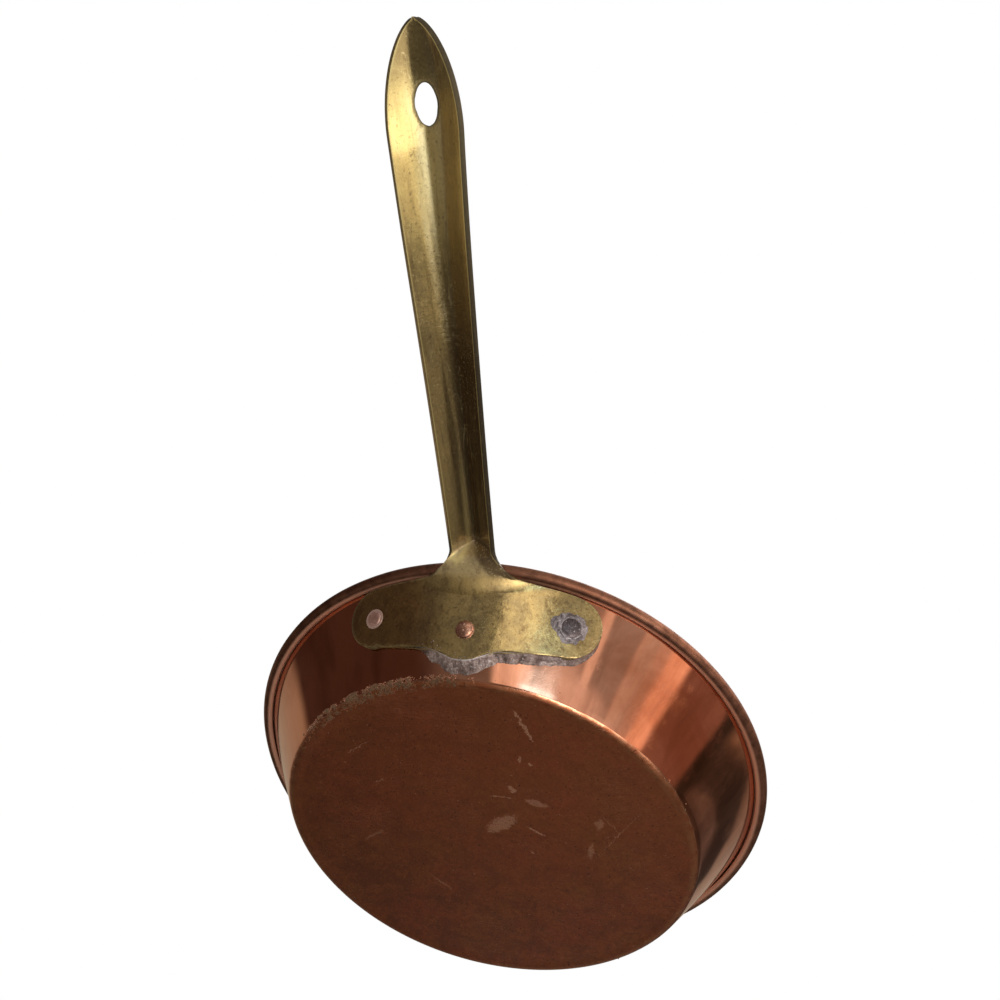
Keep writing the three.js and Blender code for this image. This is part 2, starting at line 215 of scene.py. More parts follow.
class Net:
    """Short ways to add and join the nodes of one tree."""

    def __init__(self, tree: Tree) -> None:
        """Wraps a tree."""
        self.tree = tree

    def node(self, kind: str, inputs: dict[Any, Any] | None = None, **settings: Any) -> Node:
        """Adds a node.

        Args:
            kind: Blender's name of the node's type.
            inputs: value or output to join, by input name or number.
            settings: properties of the node.

        Returns:
            The node.
        """
        made = self.tree.nodes.new(kind)
        for name, value in settings.items():
            setattr(made, name, value)
        for name, value in (inputs or {}).items():
            self.feed(made.inputs[name], value)
        return made

    def out(self, kind: str, inputs: dict[Any, Any] | None = None, **settings: Any) -> Socket:
        """First output of a new node."""
        return self.node(kind, inputs, **settings).outputs[0]

    def feed(self, target: Socket, value: Any) -> None:
        """Joins an output to an input, or sets the input's own value.

        Args:
            target: input to feed.
            value: output or plain value.
        """
        if isinstance(value, Socket):
            self.tree.links.new(value, target)
        elif isinstance(value, tuple) and target.type == "RGBA":
            target.default_value = (*value, 1.0)
        else:
            target.default_value = value

    def math(self, operation: str, first: Any, second: Any = 0.0) -> Socket:
        """Arithmetic on one or two values."""
        return self.out("ShaderNodeMath", {0: first, 1: second}, operation=operation)

    def fold(self, operation: str, values: Sequence[Any]) -> Socket:
        """Arithmetic on a row of values, from the first to the last."""
        return reduce(lambda first, second: self.math(operation, first, second), values)

    def times(self, *values: Any) -> Socket:
        """Product of values."""
        return self.fold("MULTIPLY", values)

    def plus(self, *values: Any) -> Socket:
        """Sum of values."""
        return self.fold("ADD", values)

    def most(self, *values: Any) -> Socket:
        """Largest of values."""
        return self.fold("MAXIMUM", values)

    def less(self, first: Any, second: Any) -> Socket:
        """First value less the second."""
        return self.math("SUBTRACT", first, second)

    def rest(self, share: Any) -> Socket:
        """What a share leaves of 1."""
        return self.less(1.0, share)

    def away(self, value: Any, middle: float = 0.0) -> Socket:
        """Distance of a value from a middle."""
        return self.math("ABSOLUTE", self.less(value, middle))

    def vector(self, operation: str, first: Any, second: Any = (0.0, 0.0, 0.0)) -> Socket:
        """Arithmetic on one or two vectors."""
        return self.out("ShaderNodeVectorMath", {0: first, 1: second}, operation=operation)

    def length(self, vector: Any) -> Socket:
        """Length of a vector."""
        return self.node("ShaderNodeVectorMath", {0: vector}, operation="LENGTH").outputs[1]

    def grown(self, vector: Any, scale: Any) -> Socket:
        """A vector times one number."""
        return self.out("ShaderNodeVectorMath", {0: vector, "Scale": scale}, operation="SCALE")

    def shifted(self, start: Any, way: Any, share: Triple) -> Socket:
        """A start, moved by a share of a way."""
        inputs = {0: way, 1: share, 2: start}
        return self.out("ShaderNodeVectorMath", inputs, operation="MULTIPLY_ADD")

    def mapped(self, vector: Any, scale: Triple, turn: Triple = (0.0, 0.0, 0.0)) -> Socket:
        """A vector, stretched and turned."""
        return self.out("ShaderNodeMapping", {"Vector": vector, "Rotation": turn, "Scale": scale})

    def parts(self, vector: Any) -> tuple[Socket, ...]:
        """The three parts of a vector."""
        return tuple(self.node("ShaderNodeSeparateXYZ", {0: vector}).outputs)

    def join(self, x: Any, y: Any, z: Any) -> Socket:
        """A vector from its three parts."""
        return self.out("ShaderNodeCombineXYZ", {0: x, 1: y, 2: z})

    def stored(self, name: str) -> Socket:
        """A number that the mesh stores for each corner."""
        return self.node("ShaderNodeAttribute", attribute_name=name).outputs["Fac"]

    def span(self, value: Any, low: float, high: float, start: float = 0.0, end: float = 1.0) -> Socket:
        """Smooth step of a value: start at low, end at high.

        Args:
            value: what is stepped.
            low, high: where the step begins and ends, in either order.
            start, end: what it gives there.

        Returns:
            The stepped value.
        """
        if low > high:
            low, high, start, end = high, low, end, start
        inputs = {0: value, 1: low, 2: high, 3: start, 4: end}
        return self.out("ShaderNodeMapRange", inputs, interpolation_type="SMOOTHSTEP")

    def cloud(
        self, vector: Any, scale: Any, detail: float = 4.0, grit: float = 0.5, twist: float = 0.0,
    ) -> Socket:
        """Cloudy noise of about 0.5."""
        inputs = {"Vector": vector, "Scale": scale, "Detail": detail, "Roughness": grit, "Distortion": twist}
        return self.out("ShaderNodeTexNoise", inputs)

    def jitter(self, vector: Any, scale: Any, detail: float, grit: float = 0.5) -> Socket:
        """Noise vector about zero.

        Args:
            vector: place.
            scale: lumps to the unit.
            detail: finer layers.
            grit: strength of the finer layers.

        Returns:
            The vector, each part up to about 0.5.
        """
        inputs = {"Vector": vector, "Scale": scale, "Detail": detail, "Roughness": grit}
        made = self.node("ShaderNodeTexNoise", inputs)
        return self.vector("SUBTRACT", made.outputs[1], (0.5, 0.5, 0.5))

    def blend(self, share: Any, first: Any, second: Any) -> Socket:
        """Colour between two colours."""
        return self.node("ShaderNodeMix", {0: share, 6: first, 7: second}, data_type="RGBA").outputs[2]

    def between(self, share: Any, first: Any, second: Any) -> Socket:
        """Value between two values."""
        return self.out("ShaderNodeMix", {0: share, 2: first, 3: second}, data_type="FLOAT")

    def coats(self, color: Any, *coats: tuple[Any, Any]) -> Any:
        """A colour with further colours laid over it, each by its mask."""
        return reduce(lambda under, coat: self.blend(coat[0], under, coat[1]), coats, color)

    def steps(self, value: Any, *steps: tuple[Any, Any]) -> Any:
        """A value that gives way to further values, each by its mask."""
        return reduce(lambda under, step: self.between(step[0], under, step[1]), steps, value)

    def ramp(self, share: Any, stops: Sequence[tuple[float, Color]]) -> Socket:
        """Colour from a row of stops.

        Args:
            share: place on the ramp.
            stops: places and colours.

        Returns:
            The colour.
        """
        made = self.node("ShaderNodeValToRGB", {0: share})
        steps = made.color_ramp.elements
        while len(steps) < len(stops):
            steps.new(1.0)
        for step, (place, color) in zip(steps, stops):
            step.position = place
            step.color = (*color, 1.0)
        return made.outputs[0]

    def group(self, tree: Tree, **inputs: Any) -> Socket:
        """First output of a node group that is placed in this tree.

        Args:
            tree: the group.
            inputs: value or output to join, by input name.

        Returns:
            The output.
        """
        kind = "GeometryNodeGroup" if tree.bl_idname == "GeometryNodeTree" else "ShaderNodeGroup"
        made = self.node(kind, node_tree=tree)
        for name, value in inputs.items():
            self.feed(made.inputs[name], value)
        return made.outputs[0]


def clear_nodes(owner: bpy.types.Material | bpy.types.World) -> Net:
    """Empties the nodes of a material or a world, and wraps them.

    Args:
        owner: material or world.

    Returns:
        Its nodes.
    """
    owner.use_nodes = True
    owner.node_tree.nodes.clear()
    return Net(owner.node_tree)


def new_tree(name: str, kind: str, inputs: dict[str, str], output: str) -> tuple[Net, Any, Socket]:
    """Starts a node group with one output.

    Args:
        name: the group's name.
        kind: ShaderNodeTree or GeometryNodeTree.
        inputs: kind of socket of each named input.
        output: kind of socket of the output.

    Returns:
        The net, the outputs of its input node and the input of its output node.
    """
    tree = bpy.data.node_groups.new(name, kind)
    for label, socket in inputs.items():
        tree.interface.new_socket(name=label, in_out="INPUT", socket_type=f"NodeSocket{socket}")
    label = "Mesh" if output == "Geometry" else "Mask"
    tree.interface.new_socket(name=label, in_out="OUTPUT", socket_type=f"NodeSocket{output}")
    net = Net(tree)
    return net, net.node("NodeGroupInput").outputs, net.node("NodeGroupOutput").inputs[0]


def run_tree(piece: Piece, tree: Tree, values: dict[str, Any]) -> Piece:
    """Runs a geometry tree on a piece and keeps the result as a plain mesh.

    Args:
        piece: object whose mesh goes in.
        tree: geometry tree.
        values: input values by name.

    Returns:
        The same object.
    """
    modifier = piece.modifiers.new(tree.name, "NODES")
    modifier.node_group = tree
    for item in tree.interface.items_tree:
        if item.item_type == "SOCKET" and item.in_out == "INPUT" and item.name in values:
            modifier[item.identifier] = values[item.name]
    return settle(piece)


class GeometryTrees:
    """Geometry node trees for what is turned and for what is strewn."""

    @staticmethod
    def end(net: Net, result: Socket, shape: Socket, finish: Socket) -> Tree:
        """Realizes a tree's instances, gives them their material and ends the tree.

        Args:
            net: the tree's nodes.
            result: input of its output node.
            shape: geometry that the tree gives.
            finish: material of that geometry.

        Returns:
            The finished tree.
        """
        whole = net.out("GeometryNodeRealizeInstances", {0: shape})
        net.feed(result, net.out("GeometryNodeSetMaterial", {0: whole, "Material": finish}))
        return net.tree

    @cached_property
    def turned(self) -> Tree:
        """Sweeps a row of (radius, 0, height) points once round Z."""
        net, given, result = new_tree(
            "turned piece", "GeometryNodeTree",
            {"Profile": "Geometry", "Sides": "Int", "Finish": "Material"}, "Geometry")
        count = net.out("GeometryNodeAttributeDomainSize", {0: given["Profile"]})
        columns = net.plus(given["Sides"], 1.0)
        sheet = net.out("GeometryNodeMeshGrid", {"Vertices X": columns, "Vertices Y": count})
        place = net.out("GeometryNodeInputPosition")
        across, along, _ = net.parts(place)
        number = net.math("ROUND", net.times(net.plus(along, 0.5), net.less(count, 1.0)))
        sample = net.node("GeometryNodeSampleIndex", {
            "Geometry": given["Profile"], "Value": place, "Index": number,
        }, data_type="FLOAT_VECTOR", domain="POINT")
        radius, _, height = net.parts(sample.outputs[0])
        angle = net.times(net.plus(across, 0.5), tau)
        x = net.times(radius, net.math("SINE", angle))
        y = net.times(radius, net.times(net.math("COSINE", angle), -1.0))
        spot = net.join(x, y, height)
        swept = net.out("GeometryNodeSetPosition", {"Geometry": sheet, "Position": spot})
        closed = net.out("GeometryNodeMergeByDistance", {"Geometry": swept, "Distance": TINY})
        return self.end(net, result, closed, given["Finish"])

    @cached_property
    def rivet(self) -> Tree:
        """Turns a rivet's profile and stands it on a seat, square to the wall."""
        net, given, result = new_tree(
            "rivet", "GeometryNodeTree",
            {"Profile": "Geometry", "Sides": "Int", "Seat": "Vector", "Outward": "Vector",
             "Finish": "Material"}, "Geometry")
        body = net.group(self.turned, **{name: given[name] for name in ("Profile", "Sides", "Finish")})
        spot = net.out("GeometryNodeMeshLine", {"Count": 1, "Start Location": given["Seat"]})
        turn = net.out("FunctionNodeAlignRotationToVector", {"Vector": given["Outward"]}, axis="Z")
        stood = net.out("GeometryNodeInstanceOnPoints", {"Points": spot, "Instance": body, "Rotation": turn})
        return self.end(net, result, stood, given["Finish"])

    @cached_property
    def strewn(self) -> Tree:
        """Strews small lumps over a carrier, thicker where its cover attribute is higher."""
        net, given, result = new_tree(
            "strewn lumps", "GeometryNodeTree",
            {"Carrier": "Geometry", "Density": "Float", "Smallest": "Float", "Largest": "Float",
             "Flatness": "Float", "Seed": "Int", "Finish": "Material"}, "Geometry")
        cover = net.out("GeometryNodeInputNamedAttribute", {"Name": "cover"}, data_type="FLOAT")
        density = net.times(given["Density"], cover)
        dots = net.node("GeometryNodeDistributePointsOnFaces", {
            "Mesh": given["Carrier"], "Density": density, "Seed": given["Seed"]}, distribute_method="RANDOM")
        ball = net.out("GeometryNodeMeshIcoSphere", {"Radius": 1.0, "Subdivisions": 2})
        place = net.out("GeometryNodeInputPosition")
        dented = net.grown(place, net.span(net.cloud(place, 1.1, 2.0), 0.3, 0.7, 0.65, 1.25))
        lump = net.out("GeometryNodeSetPosition", {"Geometry": ball, "Position": dented})
        size = net.node("FunctionNodeRandomValue", {
            2: given["Smallest"], 3: given["Largest"], "Seed": given["Seed"]}, data_type="FLOAT").outputs[1]
        spin = net.node("FunctionNodeRandomValue", {
            0: (-LUMP_TILT, -LUMP_TILT, 0.0), 1: (LUMP_TILT, LUMP_TILT, tau)}, data_type="FLOAT_VECTOR")
        turn = net.out("FunctionNodeRotateRotation", {
            0: dots.outputs["Rotation"], 1: spin.outputs[0]}, rotation_space="LOCAL")
        scale = net.join(size, size, net.times(size, given["Flatness"]))
        set_out = net.out("GeometryNodeInstanceOnPoints", {
            "Points": dots.outputs[0], "Instance": lump, "Rotation": turn, "Scale": scale})
        return self.end(net, result, set_out, given["Finish"])


@dataclass(frozen=True)
class Lumps:
    """Small lumps to strew: how many to the square metre, their least and largest radius in mm, and form."""

    density: float
    sizes: Pair
    flatness: float
    seed: int

    def strew(self, carrier: Piece, finish: bpy.types.Material) -> Piece:
        """Turns a carrier into the lumps that lie on it.

        Args:
            carrier: mesh with a cover attribute.
            finish: the lumps' material.

        Returns:
            The piece.
        """
        return run_tree(carrier, TREES.strewn, {
            "Density": self.density, "Smallest": self.sizes[0] * MM, "Largest": self.sizes[1] * MM,
            "Flatness": self.flatness, "Seed": self.seed, "Finish": finish})


class SurfaceGroups:
    """Shader groups for effects that several finishes share."""

    @cached_property
    def hairlines(self) -> Tree:
        """Fine broken scratches in three directions, as a mask."""
        net, given, result = new_tree(
            "hairlines", "ShaderNodeTree",
            {"Vector": "Vector", "Scale": "Float", "Amount": "Float"}, "Float")
        place = net.grown(given["Vector"], given["Scale"])
        lines = []
        for turn, stretch in ((0.35, 34.0), (1.15, 26.0), (-0.7, 30.0)):
            turned = net.mapped(place, (1.0, stretch, 1.0), (0.3, turn, turn))
            lines.append(net.span(net.away(net.cloud(turned, 1.0, 1.0, 0.4, 0.6), 0.5), 0.012, 0.0))
        patch = net.span(net.cloud(place, 0.55, 3.0), 0.46, 0.66)
        net.feed(result, net.times(net.most(*lines), patch, given["Amount"]))
        return net.tree

    @cached_property
    def tarnish(self) -> Tree:
        """Cloudy patches with a ragged edge, as a mask."""
        net, given, result = new_tree(
            "tarnish", "ShaderNodeTree",
            {"Vector": "Vector", "Scale": "Float", "Level": "Float", "Softness": "Float"}, "Float")
        broad = net.cloud(given["Vector"], given["Scale"], 7.0, 0.62, 0.5)
        lifted = net.plus(broad, net.less(given["Level"], 0.5))
        low, high = net.less(0.5, given["Softness"]), net.plus(0.5, given["Softness"])
        limits = {0: lifted, 1: low, 2: high}
        net.feed(result, net.out("ShaderNodeMapRange", limits, interpolation_type="SMOOTHSTEP"))
        return net.tree

    @cached_property
    def specks(self) -> Tree:
        """Small scattered round specks, as a mask."""
        net, given, result = new_tree(
            "specks", "ShaderNodeTree", {"Vector": "Vector", "Scale": "Float", "Size": "Float"}, "Float")
        warp = net.jitter(given["Vector"], given["Scale"], 2.0)
        moved = net.shifted(given["Vector"], warp, (0.0009, 0.0009, 0.0009))
        cells = net.node("ShaderNodeTexVoronoi", {
            "Vector": moved, "Scale": given["Scale"], "Randomness": 1.0})
        pick = net.math("GREATER_THAN", net.parts(cells.outputs[1])[0], 0.55)
        edge = net.math("DIVIDE", cells.outputs[0], given["Size"])
        net.feed(result, net.times(net.span(edge, 1.0, 0.6), pick))
        return net.tree


GROUPS = SurfaceGroups()
TREES = GeometryTrees()


# Finishes


class Finish:
    """Base of every finish: a node material with one Principled shader.

    A zone of a finish is a pair of places in metres: where its effect ends and where it is full.
    """

    name: str

    def make(self) -> bpy.types.Material:
        """Builds the material.

        Returns:
            The new material.
        """
        material = bpy.data.materials.new(self.name)
        net = clear_nodes(material)
        shader = net.node("ShaderNodeBsdfPrincipled")
        self.dress(net, shader, net.node("ShaderNodeTexCoord").outputs["Object"])
        net.node("ShaderNodeOutputMaterial", {"Surface": shader.outputs[0]})
        return material

    def dress(self, net: Net, shader: Node, place: Socket) -> None:
        """Feeds the shader.

        Args:
            net: the material's nodes.
            shader: Principled shader to feed.
            place: Object coordinates in metres.
        """
        raise NotImplementedError

    @staticmethod
    def coat(net: Net, shader: Node, color: Any, metal: Any, gloss: Any) -> None:
        """Feeds the shader's colour, metal share and roughness."""
        for name, value in (("Base Color", color), ("Metallic", metal), ("Roughness", gloss)):
            net.feed(shader.inputs[name], value)

    @staticmethod
    def relief(net: Net, shader: Node, *layers: tuple[Any, float]) -> None:
        """Feeds bump layers, each a height and its depth in mm, to the shader's normal.

        Args:
            net: the material's nodes.
            shader: shader to feed.
            layers: heights and depths.
        """
        below: dict[str, Socket] = {}
        for height, depth in layers:
            bump = net.node("ShaderNodeBump", {
                "Height": height, "Distance": depth * MM, "Strength": 1.0, **below})
            below = {"Normal": bump.outputs[0]}
        net.feed(shader.inputs["Normal"], below["Normal"])


@dataclass(frozen=True)
class Scuff:
    """A bare patch rubbed into the base: its middle, half length and half width in mm, and its turn."""

    x: float
    y: float
    length: float
    width: float
    degrees: float
    strength: float = 1.0


@dataclass(frozen=True)
class PanCopper(Finish):
    """Polished wall, tarnished rim with painted light in the groove below it, and a base gone dull brown
    with a crusted edge.
    """

    name: str = "pan copper"
    bright: Color = (0.69, 0.315, 0.19)
    tarnished: Color = (0.48, 0.180, 0.092)
    brown: Color = (0.24, 0.085, 0.045)
    scratch: Color = (0.80, 0.45, 0.30)
    rim: Color = (0.125, 0.053, 0.031)
    # painted light: lighter, matt copper in the groove where the rolled rim meets the wall, where shade
    # falls
    seam: Color = (0.56, 0.27, 0.165)
    base_red: Color = (0.27, 0.062, 0.023)
    base_brown: Color = (0.24, 0.074, 0.022)
    base_dark: Color = (0.145, 0.040, 0.016)
    base_lit: Color = (0.38, 0.108, 0.042)
    base_grain: Color = (0.44, 0.165, 0.075)
    base_worn: Color = (0.29, 0.125, 0.052)
    pit: Color = (0.05, 0.016, 0.008)
    bare: Color = (0.60, 0.30, 0.185)
    crust_dark: Color = (0.075, 0.032, 0.013)
    crust: Color = (0.17, 0.082, 0.031)
    crust_light: Color = (0.29, 0.165, 0.068)
    bead: Pair = (0.09765, 0.032)
    bead_zone: Pair = (0.00252, 0.00236)
    # where the painted groove light lies, out from and up from the rim's centre
    groove_light_out: Pair = (0.0002, -0.0010)
    groove_light_up: Pair = (0.0002, -0.0008)
    base_up: Pair = (0.0013, 0.0004)
    base_wander: float = 0.0018
    base_lit_along: Pair = (0.055, -0.060)
    worn_ring: Pair = (0.0722, 0.0738)
    crust_ring: Pair = (0.0680, 0.0735)
    crust_up: Pair = (0.0040, 0.0018)
    crust_way: Pair = (-0.42, -0.91)
    scuffs: tuple[Scuff, ...] = (
        Scuff(19.6, -57.8, 8.4, 0.80, 68.0),
        Scuff(7.5, -10.6, 8.0, 3.4, -40.0, 0.75),
        Scuff(20.8, -22.6, 4.6, 1.7, 18.0, 0.65),
        Scuff(12.9, -28.5, 2.0, 1.2, 50.0),
        Scuff(8.8, -24.0, 5.2, 0.30, 2.0),
        Scuff(19.4, -8.4, 4.2, 0.45, 32.0),
        Scuff(17.7, 3.2, 1.5, 0.40, 40.0),
        Scuff(16.9, -43.0, 0.8, 1.9, 5.0, 0.8),
        Scuff(20.0, -41.0, 0.7, 0.6, 0.0),
        Scuff(42.4, -15.0, 1.6, 3.4, 12.0, 0.5),
        Scuff(38.7, -1.0, 1.2, 4.6, 8.0, 0.5),
        Scuff(-42.8, 2.2, 6.0, 0.7, -36.0, 0.4),
        Scuff(-19.5, 26.0, 6.4, 0.6, 43.0, 0.4),
        Scuff(-41.5, -42.3, 6.6, 0.28, -38.0, 0.6),
        Scuff(-35.8, -26.6, 2.9, 0.35, -33.0, 0.6),
        Scuff(49.0, -11.0, 13.2, 0.16, 123.0, 0.6),
        Scuff(46.1, -15.8, 5.6, 0.16, 56.0, 0.6),
    )

    def scuff_mask(self, net: Net, place: Socket, grain: Socket) -> Socket:
        """Joins the scuffs into one ragged mask.

        Args:
            net: the material's nodes.
            place: Object coordinates.
            grain: the base's grain.

        Returns:
            The mask.
        """
        torn = net.shifted(place, net.jitter(place, 480.0, 4.0, 0.65), (0.0036, 0.0036, 0.0))
        roughen = net.times(net.less(grain, 0.5), 2.2)
        masks = []
        for scuff in self.scuffs:
            local = net.out("ShaderNodeMapping", {
                "Vector": torn, "Location": (scuff.x * MM, scuff.y * MM, 0.0),
                "Rotation": (0.0, 0.0, radians(scuff.degrees)),
                "Scale": (scuff.length * MM, scuff.width * MM, 1.0)}, vector_type="TEXTURE")
            x, y, _ = net.parts(local)
            away = net.plus(net.math("POWER", x, 2.0), net.math("POWER", y, 2.0))
            masks.append(net.span(net.plus(away, roughen), 1.0, 0.35, 0.0, scuff.strength))
        broken = net.span(net.cloud(place, 2700.0, 2.0, 0.6), 0.34, 0.58, 0.35, 1.0)
        return net.times(net.most(*masks), broken)

    def base_coat(self, net: Net, place: Socket) -> tuple[Socket, Socket, Socket]:
        """Dull mottled base with pits, hairlines and scuffs.

        Args:
            net: the material's nodes.
            place: Object coordinates.

        Returns:
            Its colour, its relief and where it is scuffed.
        """
        moved = net.vector("ADD", place, (0.31, 0.17, 0.0))
        blotch = net.group(GROUPS.tarnish, Vector=place, Scale=34.0, Level=0.5, Softness=0.16)
        shade = net.group(GROUPS.tarnish, Vector=moved, Scale=95.0, Level=0.46, Softness=0.16)
        mottle = net.group(GROUPS.tarnish, Vector=moved, Scale=430.0, Level=0.45, Softness=0.15)
        pits = net.group(GROUPS.specks, Vector=place, Scale=560.0, Size=0.24)
        dotted = net.vector("ADD", place, (0.07, 0.03, 0.0))
        dots = net.group(GROUPS.specks, Vector=dotted, Scale=250.0, Size=0.085)
        scratched = net.vector("ADD", place, (0.11, 0.05, 0.0))
        fine = net.group(GROUPS.hairlines, Vector=scratched, Scale=60.0, Amount=1.0)
        grain = net.cloud(place, 1300.0, 4.0, 0.7)
        scuffs = self.scuff_mask(net, place, grain)
        scuffed = net.most(scuffs, net.times(fine, 0.14), net.times(dots, 0.5))
        color = net.coats(
            self.base_red, (blotch, self.base_brown),
            (net.times(shade, 0.7), self.base_dark), (net.times(mottle, 0.65), self.base_dark),
            (net.span(net.parts(place)[1], *self.base_lit_along, 0.0, 0.40), self.base_lit),
            (net.times(pits, 0.6), self.pit), (net.span(grain, 0.54, 0.76, 0.0, 0.65), self.base_grain),
            (net.span(grain, 0.46, 0.26, 0.0, 0.85), self.base_dark), (scuffed, self.bare))
        relief = net.less(net.times(grain, 0.8), net.plus(pits, net.times(fine, 0.3)))
        return color, relief, scuffed

    def wall_coat(self, net: Net, place: Socket, ring: Socket) -> tuple[Socket, Socket, Socket]:
        """Polished copper with tarnish, smears round the pan, hairlines and spots.

        Args:
            net: the material's nodes.
            place: Object coordinates.
            ring: way out from the pan's middle.

        Returns:
            Its colour, its relief and where it is tarnished.
        """
        tarnish = net.group(GROUPS.tarnish, Vector=place, Scale=22.0, Level=0.46, Softness=0.17)
        up = net.join(0.0, 0.0, net.times(net.parts(place)[2], 30.0))
        smear = net.cloud(net.shifted(up, ring, (9.0, 9.0, 0.0)), 1.0, 6.0, 0.6, 0.4)
        lines = net.group(GROUPS.hairlines, Vector=place, Scale=150.0, Amount=0.8)
        spots = net.group(GROUPS.specks, Vector=place, Scale=210.0, Size=0.075)
        color = net.coats(
            self.bright, (tarnish, self.tarnished), (net.span(smear, 0.44, 0.70, 0.0, 0.45), self.brown),
            (net.times(lines, 0.35), self.scratch), (net.times(spots, 0.5), self.brown))
        relief = net.less(net.cloud(place, 36.0, 3.0), net.times(net.plus(lines, spots), 0.04))
        return color, relief, tarnish

    def dress(self, net: Net, shader: Node, place: Socket) -> None:
        """Feeds the shader with the wall, the rim, painted light in the groove under the rim, the base and
        its crust.

        Args:
            net: the material's nodes.
            shader: shader to feed.
            place: Object coordinates.
        """
        x, y, z = net.parts(place)
        flat = net.join(x, y, 0.0)
        radius = net.length(flat)
        ragged = net.cloud(place, 240.0, 5.0, 0.65)
        wander = net.times(net.less(ragged, 0.5), self.base_wander)
        base = net.span(net.plus(z, wander), *self.base_up)
        worn = net.times(net.span(radius, *self.worn_ring), net.span(ragged, 0.40, 0.62, 0.10, 0.60))
        out, up = net.less(radius, self.bead[0]), net.less(z, self.bead[1])
        rim = net.span(net.length(net.join(out, up, 0.0)), *self.bead_zone)
        # painted light in the groove under the rolled rim
        seam = net.times(net.span(out, *self.groove_light_out), net.span(up, *self.groove_light_up), rim)
        edge = net.times(net.span(radius, *self.crust_ring), net.span(z, *self.crust_up))
        toward = net.plus(net.times(x, self.crust_way[0]), net.times(y, self.crust_way[1]))
        thin = net.span(net.times(toward, 13.0), 0.72, 0.99, -0.22, 0.0)
        heap = net.plus(net.cloud(place, 380.0, 6.0, 0.72), thin)
        crusted = net.span(net.times(edge, heap), 0.45, 0.56)
        crumb = net.cloud(place, 1700.0, 4.0, 0.7)

        wall, wall_relief, tarnish = self.wall_coat(net, place, net.vector("NORMALIZE", flat))
        dull, base_relief, scuffed = self.base_coat(net, place)
        crust = net.ramp(crumb, ((0.32, self.crust_dark), (0.52, self.crust), (0.72, self.crust_light)))
        color = net.coats(
            wall, (net.times(rim, net.span(ragged, 0.30, 0.62, 1.0, 0.75)), self.rim), (seam, self.seam),
            (base, net.blend(worn, dull, self.base_worn)), (crusted, crust))
        smudge = net.span(net.cloud(place, 48.0, 5.0, 0.62, 0.4), 0.36, 0.70)
        shine = net.plus(net.between(smudge, 0.035, 0.085), net.times(tarnish, 0.03))
        matt = net.between(scuffed, net.span(ragged, 0.35, 0.7, 0.36, 0.50), 0.5)
        gloss = net.steps(shine, (rim, 0.48), (base, matt), (crusted, 0.9))
        metal = net.steps(1.0, (seam, 0.2), (base, 0.85), (crusted, 0.05))
        self.coat(net, shader, color, metal, gloss)
        self.relief(
            net, shader, (net.times(wall_relief, net.rest(base)), 0.05),
            (net.times(base_relief, base), 0.05), (net.times(crumb, crusted), 0.6))


